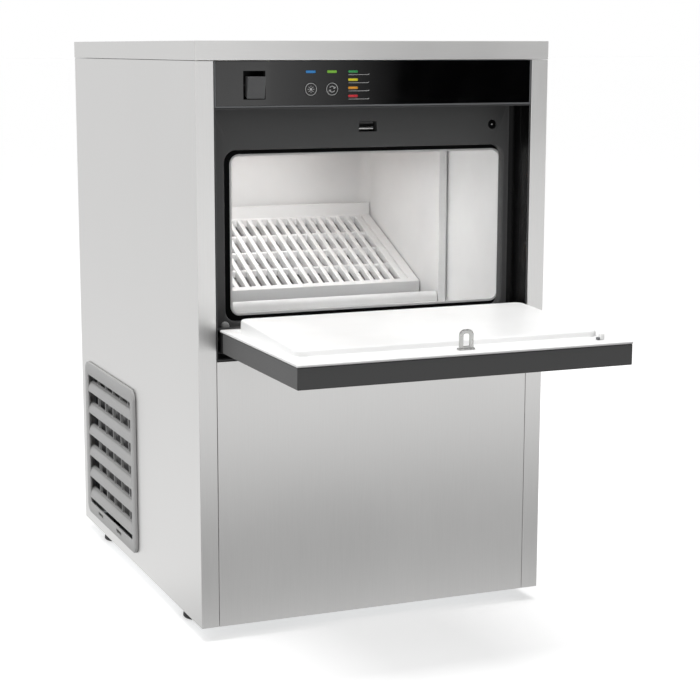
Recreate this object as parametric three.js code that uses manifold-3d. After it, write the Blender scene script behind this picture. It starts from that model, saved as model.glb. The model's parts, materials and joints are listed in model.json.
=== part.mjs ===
// Undercounter ice maker with a drop-down flap: steel cabinet, black door frame, white bin with a
// slatted ice slide, spray-type ice unit above the slide and a condensing unit below the bin.
//
// Cabinet frame, millimetres: x to the right from the middle of the cabinet, y backwards from the
// front face, z up from the underside of the cabinet. The flap lies open, level, in this model.
import * as THREE from 'three';
import { mergeVertices } from 'three/addons/utils/BufferGeometryUtils.js';
import Module from 'manifold-3d';

const wasm = await Module();
wasm.setup();

// ---------------------------------------------------------------- driving dimensions
const WIDTH = 390;
const DEPTH = 478;
const HEIGHT = 596;
const LID_SKIRT = 19;
const SHEET = 1.2;
const FLANGE = 19;
const FOOT_HEIGHT = 15;
const GAP = 0.4;
const SPIGOT_REACH = 16;

const HALF = WIDTH / 2;
const BODY_TOP = HEIGHT - LID_SKIRT - GAP;
const FRONT_HALF = HALF - FLANGE - GAP;
const PANEL_TOP = 278;

const CONSOLE_BOTTOM = 530.4;
const CONSOLE_TOP = 576.4;
const CONSOLE_DEPTH = 14;

const RECESS_HALF = 174.2;
const RECESS_DEPTH = 36;
const RECESS_FLOOR = 280.2;
const RECESS_CEILING = 529.2;
const RECESS_CORNER = 7;
const FACE_THICKNESS = 2.5;

const MOUTH = { left: -153.5, right: 162, bottom: 311.5, top: 487, radius: 12.5, jamb: 9 };
const LINER_MOUTH = { left: -142.7, right: 162, bottom: 318.7, top: 480.2, radius: 8 };

const HINGE = { y: 10.5, z: 299.5, pin: 3, cap: 3.4 };
const FLAP = {
  half: 173,
  reach: 227.8,
  heel: 15,
  under: 11.4,
  rimBottom: 9.4,
  rimTop: 11.7,
  skirtEnd: 21,
  rimEnd: 14,
  wall: 2.5,
};
const PLUG = { half: 160, front: -191, back: -26, draft: 3, frontTop: 17.2, backTop: 23.9 };

const LATCH = { x: 4.2, z: 508.5, width: 20, height: 10.5 };
const STRIKE = { x: 3, z: 509.7, width: 14.4, reach: 31, half: 1.3, plate: 8.2 };
const SENSOR = { x: 149, z: 508.5, radius: 5 };
const BUFFER = { x: 155, z: 308.4, radius: 4.4, reach: 4 };

const BIN = { half: 162, floor: 250, front: 50.2, frontCeiling: 493, split: 162, back: 378, top: 560 };
const LINER_WALL = 2.2;
const LINING = { half: 150, wall: 11, front: 166, back: 372.5, bottom: 263, top: 555 };
const SLIDE = {
  half: 148,
  front: 213,
  back: 362,
  frontTop: 318.2,
  backTop: 383.7,
  lip: 14,
  columns: 22,
  rows: 4,
  pitch: 12.9,
  slot: 7.6,
  thickness: 8,
};
const SUMP = {
  half: 149, front: 167, back: 364, bottom: 262, top: 301, wall: 2.5, sill: 11, sillTop: 311.4,
};
const MACHINE_TOP = 222;

const VENT = { front: 233.5, back: 450.5, bottom: 14.7, top: 207, louvres: 6, proud: 3 };
const FAN = { x: -128, y: 342, z: 112, radius: 70 };
const COMPRESSOR = { x: 72, y: 340, radius: 68, bottom: 12, top: 176 };
const PUMP = { x: 130, y: 120 };
const FEED_Z = 327;
const CONDENSER_X = -168;
// Refrigerant lines rise behind the bin, one on each side of the middle, and turn in to the coil.
const RISER = { x: 95, y: 456, z: 545, coilY: 404.5 };
// Where the water inlet, the drain and the cord leave through the back, as [x, z].
const INLET = [160, 180];
const DRAIN = [120, 40];
const GLAND = [165, 95];

const PLAN_Y = (DEPTH + SPIGOT_REACH - (FLAP.reach + 1 - HINGE.y)) / 2;

// ---------------------------------------------------------------- finishes
function finish(color, roughness, metalness) {
  return () => new THREE.MeshStandardMaterial({ color, roughness, metalness });
}
const steel = finish(0xc9c8c5, 0.38, 0.9);
const galvanised = finish(0xa9adad, 0.5, 0.85);
const copper = finish(0xb8693f, 0.35, 0.95);
const aluminium = finish(0xc4c7c9, 0.45, 0.9);
const chrome = finish(0xd8dadb, 0.15, 1.0);
const darkPlastic = finish(0x3a3b3c, 0.5, 0.0);
const blackGloss = finish(0x0b0b0c, 0.12, 0.0);
const greyPlastic = finish(0xb4b4b2, 0.5, 0.0);
const whitePlastic = finish(0xf2f2f0, 0.42, 0.0);
const rubber = finish(0x1a1a1a, 0.8, 0.0);
const foam = finish(0xe6d9a8, 0.9, 0.0);
const blackPaint = finish(0x161718, 0.45, 0.3);
const boardGreen = finish(0x1f5a38, 0.5, 0.0);
const lens = (color) => finish(color, 0.25, 0.0);

// ---------------------------------------------------------------- solids
function solid(geometry) {
  const bare = geometry.index ? geometry.toNonIndexed() : geometry.clone();
  bare.deleteAttribute('normal');
  bare.deleteAttribute('uv');
  const merged = mergeVertices(bare, 1e-4);
  const mesh = new wasm.Mesh({
    numProp: 3,
    vertProperties: new Float32Array(merged.attributes.position.array),
    triVerts: new Uint32Array(merged.index.array),
  });
  return new wasm.Manifold(mesh);
}

function join(first, ...others) {
  return others.reduce((sum, piece) => sum.add(piece), first);
}

function cut(first, ...others) {
  return others.reduce((rest, piece) => rest.subtract(piece), first);
}

function box([x0, x1], [y0, y1], [z0, z1]) {
  const geometry = new THREE.BoxGeometry(x1 - x0, y1 - y0, z1 - z0);
  geometry.translate((x0 + x1) / 2, (y0 + y1) / 2, (z0 + z1) / 2);
  return solid(geometry);
}

// A matrix that lays an outline's plane square to the named axis: (y, z), (x, z) or (x, y).
function facing(axis) {
  const [x, y, z] = [[1, 0, 0], [0, 1, 0], [0, 0, 1]].map((v) => new THREE.Vector3(...v));
  const matrix = new THREE.Matrix4();
  if (axis === 'x') {
    return matrix.makeBasis(y, z, x);
  }
  return axis === 'y' ? matrix.makeBasis(x, z, y.negate()) : matrix;
}

function prism(outline, axis, [from, to], curveSegments = 4) {
  const settings = { depth: to - from, bevelEnabled: false, curveSegments };
  const geometry = new THREE.ExtrudeGeometry(outline, settings);
  geometry.translate(0, 0, axis === 'y' ? -to : from);
  return solid(geometry.applyMatrix4(facing(axis)));
}

function polygon(points) {
  return new THREE.Shape(points.map(([u, v]) => new THREE.Vector2(u, v)));
}

function rounded(u0, u1, v0, v1, radius) {
  const shape = new THREE.Shape();
  shape.moveTo(u0 + radius, v0);
  shape.lineTo(u1 - radius, v0);
  shape.absarc(u1 - radius, v0 + radius, radius, -Math.PI / 2, 0);
  shape.lineTo(u1, v1 - radius);
  shape.absarc(u1 - radius, v1 - radius, radius, 0, Math.PI / 2);
  shape.lineTo(u0 + radius, v1);
  shape.absarc(u0 + radius, v1 - radius, radius, Math.PI / 2, Math.PI);
  shape.lineTo(u0, v0 + radius);
  shape.absarc(u0 + radius, v0 + radius, radius, Math.PI, 1.5 * Math.PI);
  return shape;
}

function rod(axis, radius, [from, to], [u, v], segments = 16, tip = radius) {
  const geometry = new THREE.CylinderGeometry(tip, radius, to - from, segments);
  geometry.rotateX(Math.PI / 2);
  geometry.translate(0, 0, (from + to) / 2);
  const angle = { x: [0, Math.PI / 2, 0], y: [-Math.PI / 2, 0, 0], z: [0, 0, 0] }[axis];
  geometry.applyMatrix4(new THREE.Matrix4().makeRotationFromEuler(new THREE.Euler(...angle)));
  const place = { x: [0, u, v], y: [u, 0, v], z: [u, v, 0] }[axis];
  return solid(geometry.translate(...place));
}

// A round bar bent along straight runs with rounded corners.
function bentBar(points, radius, bend, sides = 6) {
  const path = new THREE.CurvePath();
  const stops = points.map((p) => new THREE.Vector3(...p));
  let start = stops[0];
  for (let i = 1; i < stops.length - 1; i += 1) {
    const into = stops[i].clone().sub(stops[i - 1]).normalize();
    const away = stops[i + 1].clone().sub(stops[i]).normalize();
    const before = stops[i].clone().addScaledVector(into, -bend);
    const after = stops[i].clone().addScaledVector(away, bend);
    path.add(new THREE.LineCurve3(start, before));
    path.add(new THREE.QuadraticBezierCurve3(before, stops[i], after));
    start = after;
  }
  path.add(new THREE.LineCurve3(start, stops[stops.length - 1]));
  const section = new THREE.Shape();
  section.absarc(0, 0, radius, 0, 2 * Math.PI);
  const steps = Math.min(34, Math.ceil(path.getLength() / bend));
  const settings = { steps, extrudePath: path, curveSegments: sides / 2, bevelEnabled: false };
  return solid(new THREE.ExtrudeGeometry(section, settings));
}

function named(name, shape, material) {
  const data = shape.getMesh();
  const geometry = new THREE.BufferGeometry();
  geometry.setAttribute('position', new THREE.BufferAttribute(new Float32Array(data.vertProperties), 3));
  geometry.setIndex(new THREE.BufferAttribute(new Uint32Array(data.triVerts), 1));
  geometry.computeVertexNormals();
  const mesh = new THREE.Mesh(geometry, material());
  mesh.name = name;
  return mesh;
}

// ---------------------------------------------------------------- casing
function sidePanel(side) {
  const outer = side * HALF;
  const at = (distance) => outer - side * distance;
  const section = polygon([
    [outer, 0],
    [at(FLANGE), 0],
    [at(FLANGE), 5],
    [at(FLANGE - SHEET), 5],
    [at(FLANGE - SHEET), SHEET],
    [at(SHEET), SHEET],
    [at(SHEET), DEPTH - 2.6],
    [at(14), DEPTH - 2.6],
    [at(14), DEPTH - 1.4],
    [outer, DEPTH - 1.4],
  ]);
  return prism(section, 'z', [0, BODY_TOP]);
}

function ventHole() {
  const outline = rounded(VENT.front + 9, VENT.back - 9, VENT.bottom + 9, VENT.top - 9, 4);
  return prism(outline, 'x', [-HALF - 5, -HALF + 5]);
}

function sideVentGrille() {
  const inner = {
    front: VENT.front + 14,
    back: VENT.back - 13,
    bottom: VENT.bottom + 14,
    top: VENT.top - 16,
  };
  const plate = prism(
    rounded(VENT.front, VENT.back, VENT.bottom, VENT.top, 12),
    'x',
    [-HALF - GAP - VENT.proud, -HALF - GAP],
  );
  const collar = prism(
    rounded(VENT.front + 9.5, VENT.back - 9.5, VENT.bottom + 9.5, VENT.top - 9.5, 4),
    'x',
    [-HALF - GAP - 1, -HALF + 9],
  );
  const window = prism(
    rounded(inner.front, inner.back, inner.bottom, inner.top, 3),
    'x',
    [-HALF - 10, -HALF + 10],
  );
  const clipSlots = [300, 388].map((y) => box([-HALF - 10, -HALF + 10], [y, y + 9], [19, 24.2]));
  let grille = cut(join(plate, collar), window, ...clipSlots);
  const pitch = (inner.top - inner.bottom) / VENT.louvres;
  const mid = -HALF - GAP;
  for (let row = 0; row < VENT.louvres; row += 1) {
    const z = inner.bottom + row * pitch;
    const blade = polygon([
      [mid - 2.6, z + 4],
      [mid + 6.4, z + pitch - 9.6],
      [mid + 6.4, z + pitch - 7.6],
      [mid - 2.6, z + 6],
    ]);
    grille = grille.add(prism(blade, 'y', [inner.front - 2, inner.back + 2]));
  }
  const ribStep = (inner.back - inner.front) / 5;
  for (let rib = 1; rib < 5; rib += 1) {
    const y = inner.front + rib * ribStep;
    const post = box([mid + 6.6, mid + 8.4], [y - 1.2, y + 1.2], [inner.bottom - 2, inner.top + 2]);
    grille = grille.add(post);
  }
  return grille;
}

function lowerFrontPanel() {
  const face = box([-FRONT_HALF, FRONT_HALF], [0, SHEET], [0, PANEL_TOP]);
  const edges = [
    box([-FRONT_HALF, FRONT_HALF], [0, 13], [PANEL_TOP - SHEET, PANEL_TOP]),
    box([-FRONT_HALF, FRONT_HALF], [0, 13], [0, SHEET]),
    box([-FRONT_HALF, -FRONT_HALF + SHEET], [0, 12], [0, PANEL_TOP]),
    box([FRONT_HALF - SHEET, FRONT_HALF], [0, 12], [0, PANEL_TOP]),
  ];
  return join(face, ...edges);
}

function topLid() {
  const outer = box([-HALF, HALF], [-0.6, DEPTH + 0.4], [HEIGHT - LID_SKIRT, HEIGHT]);
  const hollow = box(
    [-HALF + SHEET, HALF - SHEET],
    [-0.6 + SHEET, DEPTH + 0.4 - SHEET],
    [HEIGHT - LID_SKIRT - 1, HEIGHT - SHEET],
  );
  return cut(outer, hollow);
}

function backPanel() {
  const sheet = box([-HALF + 1.5, HALF - 1.5], [DEPTH - 1.1, DEPTH], [2, BODY_TOP]);
  const slots = [];
  for (let row = 0; row < 9; row += 1) {
    const z = 34 + row * 15;
    slots.push(box([-130, -10], [DEPTH - 5, DEPTH + 5], [z, z + 6]));
  }
  return cut(
    sheet,
    ...slots,
    rod('y', 14.4, [DEPTH - 5, DEPTH + 5], INLET),
    rod('y', 14.4, [DEPTH - 5, DEPTH + 5], DRAIN),
    rod('y', 8.4, [DEPTH - 5, DEPTH + 5], GLAND),
  );
}

function basePan(feet) {
  const plate = box([-HALF + 1.6, HALF - 1.6], [14, DEPTH - 3.2], [1, 2.6]);
  const sides = [-1, 1].map((side) => {
    const middle = side * (HALF - 1.6 - SHEET / 2);
    return box([middle - SHEET / 2, middle + SHEET / 2], [14, 470], [1, 12]);
  });
  const holes = feet.map(([x, y]) => rod('z', 4.4, [-5, 8], [x, y]));
  return cut(join(plate, ...sides), ...holes);
}

function foot() {
  const profile = [
    [0, -FOOT_HEIGHT],
    [14.5, -FOOT_HEIGHT],
    [16, -FOOT_HEIGHT + 2],
    [14.5, 0.7],
    [4, 0.7],
    [4, 12],
    [0, 12],
  ];
  const geometry = new THREE.LatheGeometry(profile.map(([r, z]) => new THREE.Vector2(r, z)), 16);
  return solid(geometry.rotateX(Math.PI / 2));
}

// ---------------------------------------------------------------- control console
const ROCKER = { x: -132.4, width: 18.6, y: 8.7, z: 552.6, face: 11.5, halfHeight: 11, tilt: 12 };
const ROCKER_WELL = { left: -145, right: -122.4, bottom: 539, top: 566.4 };
const KEYS = [{ name: 'key_left', x: -73.7 }, { name: 'key_right', x: -50.8 }];
const KEY_Z = 548.2;
const KEY_RADIUS = 6.6;
const LAMP_Z = 565.5;
const LAMP = { width: 10.4, height: 2.4 };
const STATUS = { x: -27.8, levels: [565.5, 557.4, 549.3, 541.2] };

function lampOutline(x, z, grow = 0) {
  const [w, h] = [LAMP.width / 2 + grow, LAMP.height / 2 + grow];
  return rounded(x - w, x + w, z - h, z + h, 0.9);
}

function consoleCuts(grow) {
  const through = [-5, 30];
  const well = ROCKER_WELL;
  return [
    box([well.left - grow, well.right + grow], through, [well.bottom - grow, well.top + grow]),
    ...KEYS.map((key) => rod('y', KEY_RADIUS + grow, through, [key.x, KEY_Z], 20)),
    ...KEYS.map((key) => prism(lampOutline(key.x, LAMP_Z, grow), 'y', through, 2)),
    ...STATUS.levels.map((z) => prism(lampOutline(STATUS.x, z, grow), 'y', through, 2)),
  ];
}

function consoleHousing() {
  const edge = FRONT_HALF - 0.3;
  const shell = cut(
    box([-edge, edge], [0, CONSOLE_DEPTH], [CONSOLE_BOTTOM + GAP, CONSOLE_TOP]),
    box([-edge + 2.4, edge - 2.4], [3.6, CONSOLE_DEPTH + 1], [CONSOLE_BOTTOM + 2.6, CONSOLE_TOP - 2.2]),
    box([-edge + 1.5, edge - 1.5], [-1, 1.8], [CONSOLE_BOTTOM + GAP + 1.5, CONSOLE_TOP + 1]),
  );
  return cut(shell, ...consoleCuts(0.9));
}

function consoleFascia() {
  const edge = FRONT_HALF - 2.1;
  const overlay = box([-edge, edge], [0.1, 1.4], [CONSOLE_BOTTOM + 2.2, CONSOLE_TOP - 0.3]);
  return cut(overlay, ...consoleCuts(0.3));
}

function rockerHousing() {
  const well = ROCKER_WELL;
  const outer = box([well.left - 0.5, well.right + 0.5], [1.8, 27], [well.bottom - 0.5, well.top + 0.5]);
  const inner = box([well.left + 0.7, well.right - 0.7], [-1, 25], [well.bottom + 0.1, well.top - 0.1]);
  return cut(outer, inner, rod('x', 1.9, [-150, -110], [ROCKER.y, ROCKER.z], 12));
}

function rocker() {
  const outline = polygon([
    [-ROCKER.face, -ROCKER.halfHeight],
    [-ROCKER.face, ROCKER.halfHeight],
    [-3, ROCKER.halfHeight - 1.6],
    [6, 4],
    [6, -4],
    [-3, -ROCKER.halfHeight + 1.6],
  ]);
  const half = ROCKER.width / 2;
  const trunnion = rod('x', 1.5, [-half - 1.2, half + 1.2], [0, 0], 12);
  return prism(outline, 'x', [-half, half]).add(trunnion);
}

function pushKey() {
  const cap = rod('y', KEY_RADIUS - 0.3, [-0.1, 2.4], [0, 0], 20);
  return cap.add(rod('y', 2.2, [2, 14.2], [0, 0], 8));
}

function lampLens(x) {
  const flange = box([x - 7, x + 7], [4, 5.6], [LAMP_Z - 3, LAMP_Z + 3]);
  return prism(lampOutline(x, LAMP_Z), 'y', [0.3, 4.4], 2).add(flange);
}

function statusLens() {
  const { x, levels } = STATUS;
  const flange = box([x - 7, x + 7], [4, 5.6], [levels[3] - 3, levels[0] + 3]);
  return join(flange, ...levels.map((z) => prism(lampOutline(x, z), 'y', [0.3, 4.4], 2)));
}

function controlBoard() {
  const board = box([-108, 60], [16, 17.6], [536, 572]);
  const parts = [
    box([0, 20], [17, 30], [540, 560]),
    box([28, 50], [17, 34], [538, 566]),
    box([-40, -12], [17, 20], [542, 562]),
    box([-104, -90], [17, 28], [540, 568]),
    ...KEYS.map((key) => box([key.x - 3, key.x + 3], [15.6, 16.5], [KEY_Z - 3, KEY_Z + 3])),
  ];
  return join(board, ...parts);
}

// ---------------------------------------------------------------- door frame
function mouthOutline(grow) {
  const { left, right, bottom, top, radius } = MOUTH;
  return rounded(left - grow, right + grow, bottom - grow, top + grow, radius + grow);
}

function doorFrame() {
  const deep = RECESS_DEPTH + FACE_THICKNESS;
  const outer = box([-FRONT_HALF, FRONT_HALF], [0.3, deep], [PANEL_TOP + GAP, CONSOLE_BOTTOM]);
  const cornerX = RECESS_HALF - RECESS_CORNER;
  const cornerY = RECESS_DEPTH - RECESS_CORNER;
  const plan = new THREE.Shape();
  plan.moveTo(-RECESS_HALF, -5);
  plan.lineTo(RECESS_HALF, -5);
  plan.lineTo(RECESS_HALF, cornerY);
  plan.absarc(cornerX, cornerY, RECESS_CORNER, 0, Math.PI / 2);
  plan.lineTo(-cornerX, RECESS_DEPTH);
  plan.absarc(-cornerX, cornerY, RECESS_CORNER, Math.PI / 2, Math.PI);
  const recess = prism(plan, 'z', [RECESS_FLOOR, RECESS_CEILING]);
  const jamb = prism(mouthOutline(FACE_THICKNESS), 'y', [RECESS_DEPTH + 1, RECESS_DEPTH + MOUTH.jamb]);
  const mouth = prism(mouthOutline(0), 'y', [0, 60]);
  const slot = box(
    [LATCH.x - LATCH.width / 2, LATCH.x + LATCH.width / 2],
    [30, 45],
    [LATCH.z - LATCH.height / 2, LATCH.z + LATCH.height / 2],
  );
  const pinHoles = rod('x', HINGE.pin + 0.3, [-180, 180], [HINGE.y, HINGE.z]);
  const bufferHoles = [-1, 1].map((side) => rod('y', 2.2, [30, 50], [side * BUFFER.x, BUFFER.z], 12));
  return cut(
    join(cut(outer, recess), jamb),
    mouth,
    slot,
    pinHoles,
    rod('y', SENSOR.radius, [30, 45], [SENSOR.x, SENSOR.z], 24),
    ...bufferHoles,
  );
}

function mouthSeal() {
  const { left, right, bottom, top, radius } = LINER_MOUTH;
  const lip = LINER_WALL + 0.3;
  const ring = rounded(left - 18, right + 9, bottom - 14, top + 14, radius + 8);
  const hole = rounded(left - lip, right + lip, bottom - lip, top + lip, radius + lip);
  return cut(prism(ring, 'y', [45.3, 47.6]), prism(hole, 'y', [40, 50]));
}

// The catch grips the strike loop between a fixed upper lip and a sprung lower jaw.
function latchCatch() {
  const { x, z, width, height } = LATCH;
  const body = box([x - width / 2 - 4, x + width / 2 + 4], [39, 62], [z - 12, z + 12]);
  const channel = box([x - width / 2, x + width / 2], [30, 56], [z - height / 2, z + height / 2]);
  const lip = box([x - width / 2 + 0.5, x + width / 2 - 2.8], [39.2, 44], [z + 3, z + 4.7]);
  const root = box([x - 4, x + 4], [40, 44], [z + 4.5, z + height / 2 + 1]);
  return join(cut(body, channel), lip, root);
}

function catchJaw() {
  const { x, z, width } = LATCH;
  const jaw = polygon([[39.2, z - 1.6], [40, z - 0.3], [52, z - 0.3], [52, z - 3], [39.2, z - 3]]);
  return prism(jaw, 'x', [x - width / 2 + 0.5, x + width / 2 - 2.8]);
}

function doorSensor() {
  const barrel = rod('y', SENSOR.radius - 0.4, [37.2, 58], [SENSOR.x, SENSOR.z], 24);
  const collar = rod('y', 8, [39, 42], [SENSOR.x, SENSOR.z], 24);
  return join(barrel, collar, rod('y', 0.9, [35.4, 38], [SENSOR.x, SENSOR.z], 12));
}

function buffer(side) {
  const at = [side * BUFFER.x, BUFFER.z];
  const head = rod('y', BUFFER.radius, [RECESS_DEPTH - BUFFER.reach, RECESS_DEPTH - 0.3], at, 20);
  return head.add(rod('y', 1.8, [35, 44.6], at, 12));
}

function hingePin(side) {
  const at = [HINGE.y, HINGE.z];
  const span = side < 0 ? [-FRONT_HALF - 2.6, -162] : [162, FRONT_HALF + 2.6];
  const head = side < 0 ? [-FRONT_HALF - 2.6, -FRONT_HALF - GAP] : [FRONT_HALF + GAP, FRONT_HALF + 2.6];
  return join(rod('x', HINGE.pin, span, at, 24), rod('x', 4.2, head, at, 24));
}

// ---------------------------------------------------------------- flap, in the frame of its hinge
function flapShell() {
  const { half, reach, heel, under, rimBottom, rimEnd, skirtEnd, wall } = FLAP;
  const neck = half - HINGE.cap - 0.3;
  const tray = join(
    box([-half, half], [-reach, -skirtEnd], [-under, rimBottom - 0.3]),
    box([-neck, neck], [-skirtEnd - 5, heel], [-under, rimBottom - 0.3]),
  );
  const hollow = join(
    box([-half + wall, half - wall], [-reach + wall, -skirtEnd - wall], [-under + wall, rimBottom + 5]),
    box([-neck + wall, neck - wall], [-skirtEnd - 10, heel - wall], [-under + wall, rimBottom - 2.8]),
    box([-neck + wall, neck - wall], [-skirtEnd - 10, -rimEnd - 1], [-under + wall, rimBottom + 5]),
  );
  return cut(tray, hollow, rod('x', HINGE.pin + 0.3, [-half - 5, half + 5], [0, 0]));
}

function hingeCap(side) {
  const { half, heel, under, rimBottom, skirtEnd } = FLAP;
  const profile = new THREE.Shape();
  profile.moveTo(-skirtEnd + 0.3, -under);
  profile.lineTo(heel - 5, -under);
  profile.absarc(heel - 5, -under + 5, 5, -Math.PI / 2, 0);
  profile.lineTo(heel, rimBottom - 3.3);
  profile.absarc(heel - 3, rimBottom - 3.3, 3, 0, Math.PI / 2);
  profile.lineTo(-skirtEnd + 0.3, rimBottom - 0.3);
  const span = side < 0 ? [-half, -half + HINGE.cap] : [half - HINGE.cap, half];
  return cut(prism(profile, 'x', span), rod('x', HINGE.pin + 0.3, [-half - 5, half + 5], [0, 0]));
}

// The inner moulding is a rim round a shallow wedge that grows towards the hinge.
function wedge(inset, lower) {
  const { half, front, back, draft, frontTop, backTop } = PLUG;
  const base = FLAP.rimBottom - lower;
  const side = polygon([
    [front + inset, base],
    [back - inset, base],
    [back - inset, FLAP.rimTop - inset],
    [back - draft - inset, backTop - inset],
    [front + draft + inset, frontTop - inset],
    [front + inset, FLAP.rimTop - inset],
  ]);
  const end = polygon([
    [-half + inset, base],
    [half - inset, base],
    [half - inset, FLAP.rimTop - inset],
    [half - draft - inset, backTop + 1],
    [-half + draft + inset, backTop + 1],
    [-half + inset, FLAP.rimTop - inset],
  ]);
  const lengthwise = prism(side, 'x', [-half + inset, half - inset]);
  return lengthwise.intersect(prism(end, 'y', [front - 5, back + 5]));
}

function flapLiner() {
  const { half, reach, rimBottom, rimTop, rimEnd } = FLAP;
  const rim = box([-half - 0.4, half + 0.4], [-reach - 1, -rimEnd], [rimBottom, rimTop]);
  return cut(join(rim, wedge(0, 0)), wedge(2, 5));
}

function flapFoam() {
  const { half, reach, under, rimBottom, skirtEnd, wall } = FLAP;
  const space = wall + GAP;
  const slab = box(
    [-half + space, half - space],
    [-reach + space, -skirtEnd - space],
    [-under + space, rimBottom - GAP],
  );
  return slab.add(wedge(2 + GAP, 4));
}

function strikeLoop() {
  const { x, half, plate: reach, reach: top } = STRIKE;
  const y = HINGE.z - STRIKE.z;
  const bottom = FLAP.rimTop + 0.3;
  const plate = box([x - reach, x + reach], [y - 3, y + 4], [bottom, bottom + 1.4]);
  const w = STRIKE.width / 2;
  const arch = new THREE.Shape();
  arch.moveTo(x - w, bottom);
  arch.lineTo(x + w, bottom);
  arch.lineTo(x + w, top - 5);
  arch.absarc(x + w - 5, top - 5, 5, 0, Math.PI / 2);
  arch.absarc(x - w + 5, top - 5, 5, Math.PI / 2, Math.PI);
  const window = rounded(x - 3.6, x + 3.6, bottom + 3.4, top - 4, 1.5);
  const loop = cut(prism(arch, 'y', [y - half, y + half]), prism(window, 'y', [y - 5, y + 5], 3));
  return join(loop, plate);
}

function doorMagnet() {
  const y = HINGE.z - SENSOR.z;
  const bottom = FLAP.rimTop + 0.3;
  const block = box([SENSOR.x - 2.2, SENSOR.x + 2.2], [y - 2.5, y + 2.5], [bottom, bottom + 5.5]);
  return block.add(box([SENSOR.x - 5, SENSOR.x - 1], [y - 2, y + 2], [bottom, bottom + 2.5]));
}

// ---------------------------------------------------------------- bin
function binSpace(grow) {
  const { half, floor, front, frontCeiling, split, back, top } = BIN;
  const g = grow;
  return join(
    box([-half - g, half + g], [front - g, back + g], [floor - g, frontCeiling + g]),
    box([-half - g, half + g], [split - g, back + g], [floor - g, top + g]),
  );
}

function binLiner() {
  const { left, right, bottom, top, radius } = LINER_MOUTH;
  const g = LINER_WALL;
  const spout = rounded(left - g, right + g, bottom - g, top + g, radius + g);
  const mouth = rounded(left, right, bottom, top, radius);
  const hollowed = cut(
    join(binSpace(g), prism(spout, 'y', [45.8, BIN.front - 0.2])),
    binSpace(0),
    prism(mouth, 'y', [40, 60]),
  );
  return cut(hollowed, ...feedHoles());
}

// Holes in the rear walls for the water feed and the two refrigerant lines.
function feedHoles() {
  const span = [370, 440];
  return [
    rod('y', 9.5, span, [PUMP.x, FEED_Z], 16),
    rod('y', 6, span, [-95, 545], 16),
    rod('y', 6, span, [95, 545], 16),
  ];
}

function cabinetFoam() {
  const block = join(
    box([-HALF + 2, HALF - 2], [51, 422], [MACHINE_TOP + 4, 502]),
    box([-HALF + 2, HALF - 2], [130, 422], [MACHINE_TOP + 4, 574]),
  );
  const catchRoom = box([LATCH.x - 16, LATCH.x + 16], [40, 66], [LATCH.z - 14, LATCH.z + 14]);
  const sensorRoom = rod('y', 10, [40, 62], [SENSOR.x, SENSOR.z], 16);
  return cut(block, binSpace(LINER_WALL + GAP), catchRoom, sensorRoom, ...feedHoles());
}

function iceLining() {
  const { half, wall, front, back, bottom, top } = LINING;
  const outer = rounded(-half - wall, half + wall, front, back + 3.2, 3.8);
  const inner = new THREE.Shape();
  inner.moveTo(-half, front - 5);
  inner.lineTo(half, front - 5);
  inner.lineTo(half, back - 12);
  inner.absarc(half - 12, back - 12, 12, 0, Math.PI / 2);
  inner.lineTo(-half + 12, back);
  inner.absarc(-half + 12, back - 12, 12, Math.PI / 2, Math.PI);
  const walls = cut(prism(outer, 'z', [bottom, top], 4), prism(inner, 'z', [bottom - 1, top + 1], 4));
  return cut(walls, ...feedHoles());
}

function iceSlide() {
  const { half, front, back, frontTop, backTop, lip, columns, rows, pitch, slot, thickness } = SLIDE;
  const rise = (backTop - frontTop) / (back - front);
  const height = (y) => frontTop + (y - front) * rise;
  const plate = prism(
    polygon([
      [front, frontTop],
      [back, backTop],
      [back, backTop + 15],
      [back + 3, backTop + 15],
      [back + 3, backTop - thickness],
      [front + 3, frontTop - thickness],
      [front + 3, frontTop - lip],
      [front, frontTop - lip],
    ]),
    'x',
    [-half, half],
  );
  const rowStep = (back - front - 7) / rows;
  const slots = [];
  for (let row = 0; row < rows; row += 1) {
    const y0 = front + 7 + row * rowStep;
    const y1 = y0 + rowStep - 2.6;
    const opening = polygon([
      [y0, height(y0) + 6],
      [y0, height(y0) - 16],
      [y1, height(y1) - 16],
      [y1, height(y1) + 6],
    ]);
    for (let column = 0; column < columns; column += 1) {
      const x = (column - (columns - 1) / 2) * pitch;
      slots.push(prism(opening, 'x', [x - slot / 2, x + slot / 2]));
    }
  }
  return cut(plate, ...slots);
}

// The front of the sump rises to a round-topped sill, which is hollow from below.
function waterSump() {
  const { half, front, back, bottom, top, wall, sill, sillTop } = SUMP;
  const round = sill / 2;
  const inner = [-half + wall, half - wall];
  const tray = box([-half, half], [front, back], [bottom, top]);
  const bank = box([-half, half], [front, front + sill], [bottom, sillTop - round]);
  const well = box(inner, [front + sill, back - wall], [bottom + wall, top + 1]);
  const fold = box(inner, [front + wall, front + sill - wall], [bottom - 1, sillTop - sill]);
  const crown = rod('x', round, [-half, half], [front + round, sillTop - round], 24);
  const ribs = [-100, 100].map((x) => (
    box([x - 6, x + 6], [front + 20, back - 20], [BIN.floor + 0.3, bottom + 1])
  ));
  return join(cut(join(tray, bank), well, fold), crown, ...ribs);
}

function sprayBar() {
  const main = rod('x', 8, [-112, 139], [300, FEED_Z], 16);
  const inlet = rod('y', 7, [298, 366], [PUMP.x, FEED_Z], 16);
  const arms = [];
  for (let i = 0; i < 5; i += 1) {
    const x = -100 + i * 45;
    arms.push(rod('y', 4.5, [300, 352], [x, FEED_Z], 8));
    arms.push(rod('z', 2.4, [FEED_Z, FEED_Z + 9], [x, 340], 6));
    arms.push(rod('z', 2.4, [FEED_Z, FEED_Z + 11], [x, 300], 6));
  }
  return join(main, inlet, ...arms);
}

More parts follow.
